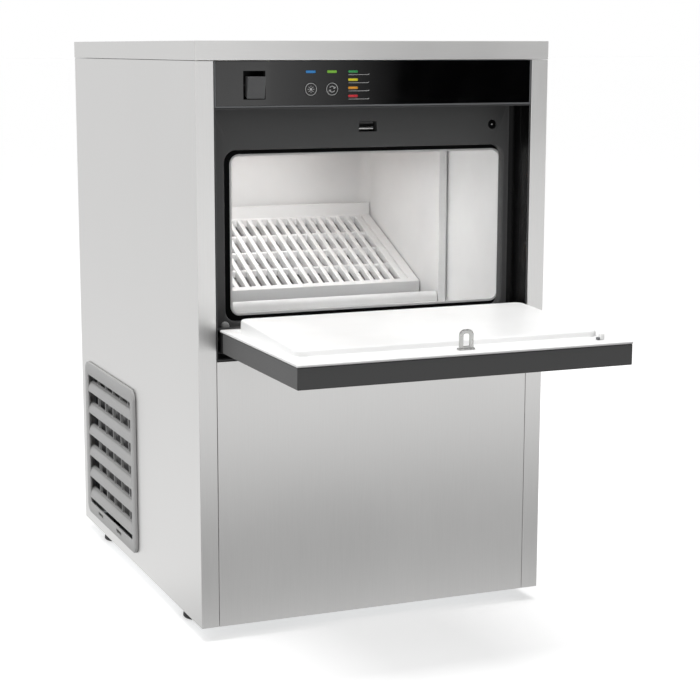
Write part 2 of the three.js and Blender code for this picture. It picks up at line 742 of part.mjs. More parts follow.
// Ice forms inside ten copper cups that open downwards, under a plate hung from the bin's ceiling.
function evaporator() {
  const plate = box([-124, 124], [196, 356], [528, 532]);
  const hangers = [[-115, 208], [115, 208], [-115, 344], [115, 344]];
  let mould = join(plate, ...hangers.map((at) => rod('z', 4, [531, BIN.top - 0.3], at, 8)));
  for (let i = 0; i < 5; i += 1) {
    for (const y of [236, 316]) {
      const at = [-100 + i * 50, y];
      const outside = rod('z', 21, [500, 529], at, 8, 18);
      const inside = rod('z', 19, [498, 526], at, 8, 16);
      mould = mould.add(cut(outside, inside));
    }
  }
  return mould;
}

function evaporatorCoil() {
  const passes = 6;
  const path = [[-95, 404, 545]];
  for (let i = 0; i < passes; i += 1) {
    const x = -95 + (i * 190) / (passes - 1);
    const ends = i % 2 ? [204, 348] : [348, 204];
    if (i > 0) {
      path.push([x, ends[0], 545]);
    }
    if (i < passes - 1) {
      path.push([x, ends[1], 545]);
    }
  }
  path.push([95, 404, 545]);
  return bentBar(path, 4, 17);
}

// ---------------------------------------------------------------- water side
function waterPump() {
  const at = [PUMP.x, PUMP.y];
  const motor = rod('z', 30, [40, 92], at, 24);
  const base = box([at[0] - 34, at[0] + 34], [at[1] - 22, at[1] + 22], [2.9, 6]);
  const column = rod('z', 12, [5, 42], at, 16);
  const volute = cut(
    rod('z', 30, [91, 126], at, 24),
    rod('z', 25, [96, 121], at, 24),
    rod('z', 9, [120, 130], at, 16),
  );
  const outlet = cut(
    rod('y', 9, [at[1] + 26, at[1] + 44], [at[0], 108], 16),
    rod('y', 5.5, [at[1] + 20, at[1] + 50], [at[0], 108], 12),
  );
  const bearing = rod('z', 4.2, [84, 98], at, 12);
  return cut(join(motor, base, column, volute, outlet), bearing);
}

function pumpImpeller() {
  const at = [PUMP.x, PUMP.y];
  const hub = join(rod('z', 7, [98, 118], at, 16), rod('z', 3.6, [86, 100], at, 12));
  const blades = [0, 1, 2].map((i) => {
    const blade = box([-22, 22], [-1.2, 1.2], [100, 116]);
    return blade.rotate([0, 0, i * 60]).translate([at[0], at[1], 0]);
  });
  return join(hub, ...blades);
}

function pumpHose() {
  const [x, y] = [PUMP.x, PUMP.y];
  const route = [
    [x, y + 44.5, 108],
    [x, y + 70, 108],
    [x, y + 70, 200],
    [x, 444, 200],
    [x, 444, FEED_Z],
    [x, 366.5, FEED_Z],
  ];
  return bentBar(route, 7, 16, 8);
}

function inletValve() {
  const body = box([148, 172], [430, 462], [168, 192]);
  const coil = rod('z', 11, [191, 222], [160, 446], 16);
  const spigot = cut(
    rod('y', 13, [461, DEPTH + SPIGOT_REACH], INLET, 24),
    rod('y', 8, [470, DEPTH + SPIGOT_REACH + 1], INLET, 16),
  );
  return join(body, coil, spigot, rod('y', 6, [412, 431], INLET, 12));
}

function drainFitting() {
  const tube = join(
    rod('y', 13, [462, DEPTH + SPIGOT_REACH - 2], DRAIN, 24),
    rod('y', 18, [470, 474], DRAIN, 24),
    rod('y', 10, [400, 463], DRAIN, 16),
  );
  return cut(tube, rod('y', 9, [405, DEPTH + SPIGOT_REACH], DRAIN, 16));
}

function cordGland() {
  const body = join(
    rod('y', 8, [466, DEPTH + 12], GLAND, 20),
    rod('y', 12, [DEPTH + 0.3, DEPTH + 5], GLAND, 6),
    rod('y', 11, [DEPTH - 8, DEPTH - 2], GLAND, 6),
  );
  return cut(body, rod('y', 4.5, [470, DEPTH + 20], GLAND, 16));
}

// ---------------------------------------------------------------- condensing unit
function condenser() {
  let core = box([CONDENSER_X - 14, CONDENSER_X + 14], [245, 440], [24, 204]);
  for (let i = 0; i < 11; i += 1) {
    const z = 31 + i * 15.6;
    const fins = [[-185, -178], [-158, -150]].map((depth) => box(depth, [250, 435], [z, z + 9]));
    core = cut(core, ...fins);
  }
  return core;
}

function fanShroud() {
  const plate = box([-151, -148], [246, 438], [22, 206]);
  const ring = rod('x', FAN.radius + 7, [-149, -118], [FAN.y, FAN.z], 28);
  const legs = box([-146, -84], [FAN.y - 10, FAN.y + 10], [10, 22.5]);
  const post = box([-87, -84], [FAN.y - 10, FAN.y + 10], [10, FAN.z - 24.4]);
  const toe = box([-120, -84], [FAN.y - 10, FAN.y + 10], [2.9, 12]);
  const foot = box([-151, -140], [FAN.y - 60, FAN.y + 60], [2.9, 23]);
  const hole = rod('x', FAN.radius + 3.5, [-160, -100], [FAN.y, FAN.z], 28);
  return join(cut(join(plate, ring), hole), legs, post, toe, foot);
}

function fanMotor() {
  const at = [FAN.y, FAN.z];
  const can = rod('x', 24, [-98, -60], at, 24);
  const bearing = rod('x', 12, [-104, -97], at, 16);
  const shaft = rod('x', 3, [-126, -103], at, 12);
  return join(can, bearing, shaft);
}

function fanBlade() {
  const hub = cut(rod('x', 15, [-12, 10], [0, 0], 24), rod('x', 3.5, [-2, 12], [0, 0], 12));
  const blades = [];
  for (let i = 0; i < 5; i += 1) {
    const blade = prism(rounded(-17, 17, 11, FAN.radius, 8), 'x', [-1, 1], 2);
    blades.push(blade.rotate([0, 0, 22]).rotate([(360 / 5) * i, 0, 0]));
  }
  return join(hub, ...blades);
}

function compressor() {
  const { x, y, radius, bottom, top } = COMPRESSOR;
  const mid = (top + bottom) / 2;
  const profile = [
    [0, bottom + 8],
    [radius - 18, bottom + 8],
    [radius - 4, bottom + 20],
    [radius, bottom + 34],
    [radius, mid - 4],
    [radius + 3, mid - 4],
    [radius + 3, mid + 4],
    [radius, mid + 4],
    [radius, top - 30],
    [radius - 8, top - 12],
    [radius - 28, top - 2],
    [0, top],
  ];
  const lathe = new THREE.LatheGeometry(profile.map(([r, z]) => new THREE.Vector2(r, z)), 20);
  const can = solid(lathe.rotateX(Math.PI / 2)).translate([x, y, 0]);
  const base = box([x - 62, x + 62], [y - 46, y + 46], [bottom, bottom + 3]);
  const terminal = box([x - 22, x + 22], [y - radius - 14, y - radius + 6], [74, 116]);
  const stub = box([x - 40, x + 40], [y - 30, y + 30], [bottom + 2, bottom + 10]);
  const grommets = [[-54, -38], [54, -38], [-54, 38], [54, 38]].map(([dx, dy]) => (
    rod('z', 7, [2.9, bottom + 1], [x + dx, y + dy], 12)
  ));
  return join(can, base, terminal, stub, ...grommets);
}

function hotGasValve() {
  const body = box([-34, -14], [180, 200], [60, 80]);
  const stud = rod('z', 3, [2.9, 61], [-24, 190], 8);
  return join(body, rod('z', 10, [79, 108], [-24, 190], 16), stud);
}

function dischargeTube() {
  const { x, y } = COMPRESSOR;
  const route = [
    [x - 30, y - 52, 168],
    [x - 30, y - 52, 205],
    [x - 30, 228, 205],
    [CONDENSER_X, 228, 205],
    [CONDENSER_X, 228, 150],
    [CONDENSER_X, 244.5, 150],
  ];
  return bentBar(route, 3, 9);
}

function suctionTube() {
  const { x, y } = COMPRESSOR;
  const route = [
    [x + 23, y + 50, 171],
    [x + 23, y + 50, 210],
    [RISER.x, RISER.y, 210],
    [RISER.x, RISER.y, RISER.z],
    [RISER.x, RISER.coilY, RISER.z],
  ];
  return bentBar(route, 3.5, 10);
}

function liquidLine() {
  const route = [
    [CONDENSER_X, 440.5, 60],
    [CONDENSER_X, RISER.y, 60],
    [-RISER.x, RISER.y, 60],
    [-RISER.x, RISER.y, RISER.z],
    [-RISER.x, RISER.coilY, RISER.z],
  ];
  const tube = bentBar(route, 2.5, 9);
  const drier = rod('z', 10, [100, 190], [-RISER.x, RISER.y], 16);
  return join(tube, drier);
}

// ---------------------------------------------------------------- assembly
const FEET = [
  ['foot_front_left', -172, 85],
  ['foot_front_right', 172, 85],
  ['foot_rear_left', -172, 410],
  ['foot_rear_right', 172, 410],
];

function casing() {
  const group = new THREE.Group();
  group.add(
    named('side_panel_left', cut(sidePanel(-1), ventHole()), steel),
    named('side_panel_right', sidePanel(1), steel),
    named('side_vent_grille', sideVentGrille(), greyPlastic),
    named('lower_front_panel', lowerFrontPanel(), steel),
    named('top_lid', topLid(), steel),
    named('back_panel', backPanel(), galvanised),
    named('base_pan', basePan(FEET.map(([, x, y]) => [x, y])), galvanised),
  );
  FEET.forEach(([name, x, y]) => {
    const mesh = named(name, foot(), rubber);
    mesh.position.set(x, y, 0);
    group.add(mesh);
  });
  return group;
}

function consoleGroup() {
  const group = new THREE.Group();
  group.add(
    named('console_housing', consoleHousing(), darkPlastic),
    named('console_fascia', consoleFascia(), blackGloss),
    named('rocker_housing', rockerHousing(), rubber),
    named('lamp_lens_left', lampLens(KEYS[0].x), lens(0x3c8ccd)),
    named('lamp_lens_right', lampLens(KEYS[1].x), lens(0x82c346)),
    named('status_lens', statusLens(), lens(0xe8c040)),
    named('control_board', controlBoard(), boardGreen),
  );
  const switchRocker = named('rocker', rocker(), darkPlastic);
  switchRocker.position.set(ROCKER.x, ROCKER.y, ROCKER.z);
  switchRocker.rotation.x = THREE.MathUtils.degToRad(ROCKER.tilt);
  group.add(switchRocker);
  KEYS.forEach(({ name, x }) => {
    const key = named(name, pushKey(), blackGloss);
    key.position.set(x, 0, KEY_Z);
    group.add(key);
  });
  return group;
}

function doorway() {
  const group = new THREE.Group();
  group.add(
    named('door_frame', doorFrame(), darkPlastic),
    named('mouth_seal', mouthSeal(), rubber),
    named('latch_catch', latchCatch(), darkPlastic),
    named('catch_jaw', catchJaw(), chrome),
    named('door_sensor', doorSensor(), rubber),
    named('buffer_left', buffer(-1), greyPlastic),
    named('buffer_right', buffer(1), greyPlastic),
    named('hinge_pin_left', hingePin(-1), chrome),
    named('hinge_pin_right', hingePin(1), chrome),
  );
  return group;
}

function flap() {
  const group = new THREE.Group();
  group.position.set(0, HINGE.y, HINGE.z);
  group.add(
    named('flap_shell', flapShell(), darkPlastic),
    named('flap_liner', flapLiner(), whitePlastic),
    named('flap_foam', flapFoam(), foam),
    named('hinge_cap_left', hingeCap(-1), blackGloss),
    named('hinge_cap_right', hingeCap(1), blackGloss),
    named('strike_loop', strikeLoop(), chrome),
    named('door_magnet', doorMagnet(), whitePlastic),
  );
  return group;
}

function bin() {
  const group = new THREE.Group();
  group.add(
    named('bin_liner', binLiner(), whitePlastic),
    named('cabinet_foam', cabinetFoam(), foam),
    named('ice_lining', iceLining(), whitePlastic),
    named('ice_slide', iceSlide(), whitePlastic),
    named('water_sump', waterSump(), whitePlastic),
    named('spray_bar', sprayBar(), whitePlastic),
    named('evaporator', evaporator(), copper),
    named('evaporator_coil', evaporatorCoil(), copper),
  );
  return group;
}

function machineBay() {
  const group = new THREE.Group();
  group.add(
    named('water_pump', waterPump(), rubber),
    named('pump_impeller', pumpImpeller(), whitePlastic),
    named('pump_hose', pumpHose(), rubber),
    named('inlet_valve', inletValve(), whitePlastic),
    named('drain_fitting', drainFitting(), greyPlastic),
    named('cord_gland', cordGland(), rubber),
    named('condenser', condenser(), aluminium),
    named('fan_shroud', fanShroud(), galvanised),
    named('fan_motor', fanMotor(), blackPaint),
    named('compressor', compressor(), blackPaint),
    named('hot_gas_valve', hotGasValve(), copper),
    named('discharge_tube', dischargeTube(), copper),
    named('suction_tube', suctionTube(), copper),
    named('liquid_line', liquidLine(), copper),
  );
  const blade = named('fan_blade', fanBlade(), aluminium);
  blade.position.set(FAN.x, FAN.y, FAN.z);
  group.add(blade);
  return group;
}

const iceMaker = new THREE.Group();
iceMaker.position.set(0, -PLAN_Y, FOOT_HEIGHT);
iceMaker.add(casing(), consoleGroup(), doorway(), flap(), bin(), machineBay());

export default iceMaker;
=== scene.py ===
import json
import math

import bmesh
import bpy
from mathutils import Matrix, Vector


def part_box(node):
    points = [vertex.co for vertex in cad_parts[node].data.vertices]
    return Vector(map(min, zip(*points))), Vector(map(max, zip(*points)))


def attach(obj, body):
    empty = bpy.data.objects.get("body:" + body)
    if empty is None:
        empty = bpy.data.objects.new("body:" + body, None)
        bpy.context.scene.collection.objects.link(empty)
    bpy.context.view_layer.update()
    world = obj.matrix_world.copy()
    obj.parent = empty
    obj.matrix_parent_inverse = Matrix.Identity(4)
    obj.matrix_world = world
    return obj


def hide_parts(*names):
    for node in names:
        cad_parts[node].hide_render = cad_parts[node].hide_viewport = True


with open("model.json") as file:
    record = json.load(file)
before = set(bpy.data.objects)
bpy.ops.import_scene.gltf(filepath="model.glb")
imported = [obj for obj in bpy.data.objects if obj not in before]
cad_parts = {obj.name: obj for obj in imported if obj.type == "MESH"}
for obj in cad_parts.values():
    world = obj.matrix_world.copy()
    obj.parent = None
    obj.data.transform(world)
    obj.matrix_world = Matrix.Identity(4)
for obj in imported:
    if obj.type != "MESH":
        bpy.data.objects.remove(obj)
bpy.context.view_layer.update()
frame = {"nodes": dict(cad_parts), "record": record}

MM = 0.001
FRONT_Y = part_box("lower_front_panel")[0].y
UNDERSIDE_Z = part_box("side_panel_left")[0].z
BODY_OF = {node: body for body, nodes in frame["record"]["behaviour"]["bodies"].items() for node in nodes}
SLOT_OF = {part["node"]: part["material_slot"] for part in frame["record"]["subparts"]}


def spot(x, y, z):
    return Vector((x * MM, FRONT_Y + y * MM, UNDERSIDE_Z + z * MM))


def extent(node):
    """A node's (x0, x1), (y0, y1) and (z0, z1) in cabinet millimetres."""
    low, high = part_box(node)
    zero = spot(0, 0, 0)
    return tuple(((low[i] - zero[i]) / MM, (high[i] - zero[i]) / MM) for i in range(3))


# ---------------------------------------------------------------- camera
CAMERA_PLACE = (-0.7228, -1.77815, 0.6051)
CAMERA_AZIMUTH = 22.03
CAMERA_PITCH = -10.03
CAMERA_LENS = 89.75
CAMERA_SHIFT = (0.0364, 0.0077)


def make_camera():
    data = bpy.data.cameras.new("camera")
    data.lens = CAMERA_LENS
    data.sensor_width = 36.0
    data.shift_x, data.shift_y = CAMERA_SHIFT
    data.clip_end = 400.0
    camera = bpy.data.objects.new("camera", data)
    camera.location = CAMERA_PLACE
    camera.rotation_euler = (math.radians(90 + CAMERA_PITCH), 0, math.radians(-CAMERA_AZIMUTH))
    bpy.context.scene.collection.objects.link(camera)
    bpy.context.scene.camera = camera


# ---------------------------------------------------------------- studio
SKY_SHINE = 0.87
SKY_LEVEL, SKY_TOP, SKY_LEFT = 0.03, 0.55, 0.95
FLOOR_GLOW = 0.45
FLOOR_BOUNCE = 0.22


def mix_by_ray(tree, kind, seen, other):
    """A shader that is seen by one kind of ray and other by the rest."""
    ray = tree.nodes.new("ShaderNodeLightPath")
    mix = tree.nodes.new("ShaderNodeMixShader")
    tree.links.new(ray.outputs[kind], mix.inputs[0])
    tree.links.new(other, mix.inputs[1])
    tree.links.new(seen, mix.inputs[2])
    return mix.outputs["Shader"]


def sky(tree, strength):
    """An even white sky, or one whose strength comes from another node."""
    background = tree.nodes.new("ShaderNodeBackground")
    background.inputs["Color"].default_value = (1, 1, 1, 1)
    if isinstance(strength, float):
        background.inputs["Strength"].default_value = strength
    else:
        tree.links.new(strength, background.inputs["Strength"])
    return background.outputs[0]


def weighted(tree, source, weight, base):
    """base + weight x max(source, 0), where base is a number or a socket."""
    positive = tree.nodes.new("ShaderNodeMath")
    positive.operation = "MAXIMUM"
    positive.inputs[1].default_value = 0.0
    tree.links.new(source, positive.inputs[0])
    total = tree.nodes.new("ShaderNodeMath")
    total.operation = "MULTIPLY_ADD"
    total.inputs[1].default_value = weight
    tree.links.new(positive.outputs[0], total.inputs[0])
    if isinstance(base, float):
        total.inputs[2].default_value = base
    else:
        tree.links.new(base, total.inputs[2])
    return total.outputs[0]


def make_world():
    """White to the camera, an even tent to reflections, and soft light from above and the left otherwise."""
    world = bpy.data.worlds.new("studio")
    world.use_nodes = True
    tree = world.node_tree
    coords = tree.nodes.new("ShaderNodeTexCoord")
    axes = tree.nodes.new("ShaderNodeSeparateXYZ")
    tree.links.new(coords.outputs["Generated"], axes.inputs[0])
    left = tree.nodes.new("ShaderNodeMath")
    left.operation = "MULTIPLY"
    left.inputs[1].default_value = -1.0
    tree.links.new(axes.outputs["X"], left.inputs[0])
    overhead = weighted(tree, axes.outputs["Z"], SKY_TOP, SKY_LEVEL)
    strength = weighted(tree, left.outputs[0], SKY_LEFT, overhead)
    tent = mix_by_ray(tree, "Is Glossy Ray", sky(tree, SKY_SHINE), sky(tree, strength))
    surface = mix_by_ray(tree, "Is Camera Ray", sky(tree, 1.0), tent)
    tree.links.new(surface, tree.nodes["World Output"].inputs["Surface"])
    bpy.context.scene.world = world
    bpy.context.scene.view_settings.view_transform = "Standard"


# What reflections see of the floor along y: metres from the middle, and how bright it is there.
SHEEN_SPAN = 4.0
SHEEN_GLOW = 1.1
SHEEN_STOPS = ((-4.0, 1.0), (-2.6, 1.0), (-1.0, 0.98), (-0.5, 0.24), (0.1, 0.92), (1.5, 0.85), (4.0, 0.80))


def floor_sheen(tree):
    coords = tree.nodes.new("ShaderNodeTexCoord")
    axes = tree.nodes.new("ShaderNodeSeparateXYZ")
    tree.links.new(coords.outputs["Object"], axes.inputs[0])
    span = tree.nodes.new("ShaderNodeMapRange")
    span.inputs["From Min"].default_value = -SHEEN_SPAN
    span.inputs["From Max"].default_value = SHEEN_SPAN
    tree.links.new(axes.outputs["Y"], span.inputs["Value"])
    ramp = tree.nodes.new("ShaderNodeValToRGB")
    stops = ramp.color_ramp.elements
    while len(stops) < len(SHEEN_STOPS):
        stops.new(0.5)
    for stop, (y, shade) in zip(stops, SHEEN_STOPS):
        stop.position = (y + SHEEN_SPAN) / (2 * SHEEN_SPAN)
        stop.color = (shade, shade, shade, 1)
    tree.links.new(span.outputs["Result"], ramp.inputs["Fac"])
    sheen = tree.nodes.new("ShaderNodeEmission")
    tree.links.new(ramp.outputs["Color"], sheen.inputs["Color"])
    sheen.inputs["Strength"].default_value = SHEEN_GLOW
    return sheen.outputs[0]


def make_floor():
    side = 90.0
    mesh = bpy.data.meshes.new("studio_floor")
    corners = [(-side, -side, 0), (side, -side, 0), (side, side, 0), (-side, side, 0)]
    mesh.from_pydata(corners, [], [(0, 1, 2, 3)])
    floor = bpy.data.objects.new("studio_floor", mesh)
    material = bpy.data.materials.new("floor")
    material.use_nodes = True
    tree = material.node_tree
    shader = tree.nodes["Principled BSDF"]
    shader.inputs["Base Color"].default_value = (0.9, 0.9, 0.9, 1)
    shader.inputs["Roughness"].default_value = 0.8
    shader.inputs["Specular IOR Level"].default_value = 0.1
    shader.inputs["Emission Color"].default_value = (1, 1, 1, 1)
    shader.inputs["Emission Strength"].default_value = FLOOR_GLOW
    bounce = tree.nodes.new("ShaderNodeEmission")
    bounce.inputs["Strength"].default_value = FLOOR_BOUNCE
    surface = mix_by_ray(tree, "Is Diffuse Ray", bounce.outputs[0], shader.outputs[0])
    surface = mix_by_ray(tree, "Is Glossy Ray", floor_sheen(tree), surface)
    tree.links.new(surface, tree.nodes["Material Output"].inputs["Surface"])
    mesh.materials.append(material)
    bpy.context.scene.collection.objects.link(floor)


def soft_light(name, place, aim, size, power, spread=180):
    """A rectangular light that lights things but isn't mirrored in them."""
    data = bpy.data.lights.new(name, "AREA")
    data.spread = math.radians(spread)
    data.shape = "RECTANGLE"
    data.size, data.size_y = size
    data.energy = power
    light = bpy.data.objects.new(name, data)
    light.location = place
    light.rotation_euler = (Vector(aim) - Vector(place)).to_track_quat("-Z", "Y").to_euler()
    light.visible_camera = False
    light.visible_glossy = False
    bpy.context.scene.collection.objects.link(light)


# A card in front and to the right that fades from FADE_SHADE to black between these x, in metres.
FADE_X, FADE_SHADE = (0.20, 0.42), 0.92
CARD_X, CARD_Y, CARD_Z = (0.20, 0.80), -1.0, (0.46, 0.66)


def make_fading_card():
    """A studio card that only reflections see, so that the glossy console turns black to the right."""
    mesh = bpy.data.meshes.new("fading_card")
    corners = [(CARD_X[0], CARD_Y, CARD_Z[0]), (CARD_X[1], CARD_Y, CARD_Z[0]),
               (CARD_X[1], CARD_Y, CARD_Z[1]), (CARD_X[0], CARD_Y, CARD_Z[1])]
    mesh.from_pydata(corners, [], [(0, 1, 2, 3)])
    card = bpy.data.objects.new("fading_card", mesh)
    material = bpy.data.materials.new("fading_card")
    material.use_nodes = True
    tree = material.node_tree
    coords = tree.nodes.new("ShaderNodeTexCoord")
    axes = tree.nodes.new("ShaderNodeSeparateXYZ")
    tree.links.new(coords.outputs["Object"], axes.inputs[0])
    fade = tree.nodes.new("ShaderNodeMapRange")
    values = {"From Min": FADE_X[0], "From Max": FADE_X[1], "To Min": FADE_SHADE, "To Max": 0.0}
    for socket, value in values.items():
        fade.inputs[socket].default_value = value
    tree.links.new(axes.outputs["X"], fade.inputs["Value"])
    glow = tree.nodes.new("ShaderNodeEmission")
    tree.links.new(fade.outputs["Result"], glow.inputs["Strength"])
    tree.links.new(glow.outputs[0], tree.nodes["Material Output"].inputs["Surface"])
    mesh.materials.append(material)
    card.visible_camera = False
    card.visible_diffuse = False
    card.visible_shadow = False
    bpy.context.scene.collection.objects.link(card)


def make_studio():
    make_world()
    make_floor()
    soft_light("key", (-1.8, -2.4, 2.2), (0, 0, 0.35), (2.4, 2.4), 3)
    soft_light("overhead", (-0.1, -0.40, 2.6), (-0.1, -0.40, 0.35), (2.2, 1.0), 44)
    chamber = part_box("ice_lining")
    middle = (chamber[0] + chamber[1]) / 2
    lamp = (middle.x - 0.05, middle.y - 0.02, chamber[1].z - 0.075)
    soft_light("in_chamber", lamp, (middle.x - 0.05, middle.y + 0.04, 0), (0.24, 0.12), 0.27)
    soft_light("over_sill", spot(-10, 75, 484), spot(-10, 195, 300), (0.24, 0.04), 0.07, spread=90)
    soft_light("in_store", spot(-110, 100, 480), spot(160, 112, 400), (0.08, 0.05), 0.05, spread=75)
    make_fading_card()


# ---------------------------------------------------------------- materials
class Finish:
    """A Principled material whose colour, roughness and relief are built up from noise.

    Object coordinates are the row frame's metres, so scales are counts per metre.
    """

    def __init__(self, name, color, roughness, metallic=0.0, **sockets):
        self.material = bpy.data.materials.new(name)
        self.material.use_nodes = True
        self.tree = self.material.node_tree
        self.shader = self.tree.nodes["Principled BSDF"]
        self.color = color
        self.set("Base Color", (*color, 1))
        self.set("Roughness", roughness)
        self.set("Metallic", metallic)
        for socket, value in sockets.items():
            self.set(socket.replace("_", " ").title().replace("Ior", "IOR"), value)
        self.coords = self.tree.nodes.new("ShaderNodeTexCoord").outputs["Object"]

    def set(self, socket, value):
        self.shader.inputs[socket].default_value = value

    def link(self, source, target):
        self.tree.links.new(source, target)

    def math(self, operation, first, second):
        node = self.tree.nodes.new("ShaderNodeMath")
        node.operation = operation
        for socket, value in zip(node.inputs, (first, second)):
            if isinstance(value, (int, float)):
                socket.default_value = value
            else:
                self.link(value, socket)
        return node.outputs["Value"]

    def noise(self, scale, stretch=(1, 1, 1), detail=3.0):
        mapping = self.tree.nodes.new("ShaderNodeMapping")
        mapping.inputs["Scale"].default_value = stretch
        noise = self.tree.nodes.new("ShaderNodeTexNoise")
        noise.inputs["Scale"].default_value = scale
        noise.inputs["Detail"].default_value = detail
        self.link(self.coords, mapping.inputs["Vector"])
        self.link(mapping.outputs["Vector"], noise.inputs["Vector"])
        return noise.outputs["Fac"]

    def cells(self, scale, output="Distance"):
        cells = self.tree.nodes.new("ShaderNodeTexVoronoi")
        cells.inputs["Scale"].default_value = scale
        self.link(self.coords, cells.inputs["Vector"])
        return cells.outputs[output]

    def spread(self, source, low, high, start=0.3, end=0.7):
        """Maps a noise of about start to end onto low to high."""
        node = self.tree.nodes.new("ShaderNodeMapRange")
        values = {"From Min": start, "From Max": end, "To Min": low, "To Max": high}
        for socket, value in values.items():
            node.inputs[socket].default_value = value
        self.link(source, node.inputs["Value"])
        return node.outputs["Result"]

    def edges(self, radius, low=0.02, high=0.25):
        """1 on outer edges of about this radius in metres, 0 on flat stretches: rubbed wear on the plastics, a
        painted highlight on the steel.
        """
        rounded = self.tree.nodes.new("ShaderNodeBevel")
        rounded.samples = 4
        rounded.inputs["Radius"].default_value = radius
        geometry = self.tree.nodes.new("ShaderNodeNewGeometry")
        dot = self.tree.nodes.new("ShaderNodeVectorMath")
        dot.operation = "DOT_PRODUCT"
        self.link(rounded.outputs["Normal"], dot.inputs[0])
        self.link(geometry.outputs["Normal"], dot.inputs[1])
        return self.spread(self.math("SUBTRACT", 1.0, dot.outputs["Value"]), 0.0, 1.0, low, high)

    def tint(self, factor, low, high):
        """Base colour between two shades of the finish's own colour, or of what tint() made before."""
        mix = self.tree.nodes.new("ShaderNodeMix")
        mix.data_type = "RGBA"
        self.link(factor, mix.inputs["Factor"])
        sockets = [s for s in mix.inputs if s.type == "RGBA"]
        sockets[0].default_value = (*[c * low for c in self.color], 1)
        sockets[1].default_value = (*[min(1, c * high) for c in self.color], 1)
        result = [s for s in mix.outputs if s.type == "RGBA"][0]
        self.link(result, self.shader.inputs["Base Color"])
        return self

    def rub(self, factor, shade):
        """Paints a second colour over the base colour where factor is 1."""
        mix = self.tree.nodes.new("ShaderNodeMix")
        mix.data_type = "RGBA"
        self.link(factor, mix.inputs["Factor"])
        sockets = [s for s in mix.inputs if s.type == "RGBA"]
        before = self.shader.inputs["Base Color"].links
        if before:
            self.link(before[0].from_socket, sockets[0])
        else:
            sockets[0].default_value = (*self.color, 1)
        sockets[1].default_value = (*shade, 1)
        result = [s for s in mix.outputs if s.type == "RGBA"][0]
        self.link(result, self.shader.inputs["Base Color"])
        return self

    def rough(self, factor, low, high):
        self.link(self.spread(factor, low, high), self.shader.inputs["Roughness"])
        return self

    def relief(self, factor, height, strength=1.0):
        """Bump of this height in metres."""
        bump = self.tree.nodes.new("ShaderNodeBump")
        bump.inputs["Distance"].default_value = height
        bump.inputs["Strength"].default_value = strength
        before = self.shader.inputs["Normal"].links
        if before:
            self.link(before[0].from_socket, bump.inputs["Normal"])
        self.link(factor, bump.inputs["Height"])
        self.link(bump.outputs["Normal"], self.shader.inputs["Normal"])
        return self


def brushed_steel(name, along, shade=0.71):
    """Satin steel with a fine grain along one axis: 0 for x, 1 for y, 2 for z."""
    color = (shade, shade * 0.995, shade * 0.985)
    steel = Finish(name, color, 0.34, 1.0)
    stretch = [1.0, 1.0, 1.0]
    stretch[along] = 0.012
    grain = steel.noise(2600, stretch, 2.0)
    clouds = steel.noise(5, (1, 1, 1), 2.0)
    steel.tint(steel.spread(steel.math("ADD", grain, clouds), 0.0, 1.0, 0.7, 1.3), 0.965, 1.02)
    steel.rough(steel.math("MULTIPLY", steel.math("ADD", grain, clouds), 0.5), 0.30, 0.40)
    steel.relief(grain, 0.00002, 0.35)
    # Lighter edges: edge wear and a painted highlight along the steel's rims.
    steel.rub(steel.edges(0.0006), (0.86, 0.86, 0.85))
    return steel.material


def galvanised_steel():
    zinc = Finish("galvanised", (0.55, 0.57, 0.58), 0.45, 1.0)
    spangle = zinc.cells(170, "Color")
    split = zinc.tree.nodes.new("ShaderNodeSeparateColor")
    zinc.link(spangle, split.inputs["Color"])
    zinc.tint(split.outputs["Red"], 0.94, 1.05)
    zinc.link(zinc.spread(split.outputs["Green"], 0.34, 0.52, 0.0, 1.0), zinc.shader.inputs["Roughness"])
    return zinc.material


def bare_metal(name, color, roughness, stain=0.8):
    """Plain metal with handling marks: copper, aluminium or chrome."""
    metal = Finish(name, color, roughness, 1.0)
    marks = metal.noise(60, (1, 1, 1), 6.0)
    metal.tint(metal.spread(marks, 0, 1), stain, 1.05)
    metal.rough(metal.noise(240), roughness * 0.8, roughness * 1.35)
    return metal.material


def moulded(name, color, roughness, grain=1500, depth=0.00003, worn=None, **sockets):
    """Injection-moulded plastic with a fine eroded texture, faint flow clouds and rubbed edges."""
    plastic = Finish(name, color, roughness, 0.0, **sockets)
    texture = plastic.noise(grain, (1, 1, 1), 2.0)
    clouds = plastic.noise(9, (1, 1, 1), 3.0)
    plastic.tint(plastic.spread(clouds, 0, 1), 0.95, 1.05)
    mottle = plastic.math("MULTIPLY", plastic.math("ADD", texture, clouds), 0.5)
    plastic.rough(mottle, roughness * 0.85, roughness * 1.15)
    plastic.relief(texture, depth, 0.6)
    if worn:
        plastic.rub(plastic.edges(0.0008), worn)
    return plastic.material


def glossy_panel():
    """Printed polycarbonate over black: deep gloss with the faintest waviness."""
    panel = Finish("fascia_black", (0.0012, 0.0012, 0.0014), 0.08, 0.0, coat_weight=0.6, coat_roughness=0.05)
    waves = panel.noise(14, (1, 1, 1), 1.0)
    panel.tint(panel.noise(700), 0.8, 1.3)
    panel.rough(panel.noise(30), 0.05, 0.12)
    panel.relief(waves, 0.00004, 0.5)
    return panel.material


def lit_lens(name, color, glow):
    lens = Finish(name, color, 0.25, 0.0, emission_color=(*color, 1), emission_strength=glow)
    lens.tint(lens.noise(300), 0.85, 1.15)
    lens.rough(lens.noise(500), 0.18, 0.35)
    return lens.material


def foam_core():
    foam = Finish("foam", (0.80, 0.72, 0.45), 0.9)
    bubbles = foam.cells(700)
    foam.tint(foam.spread(bubbles, 0, 1, 0, 0.6), 0.8, 1.08)
    foam.relief(bubbles, 0.0006)
    return foam.material


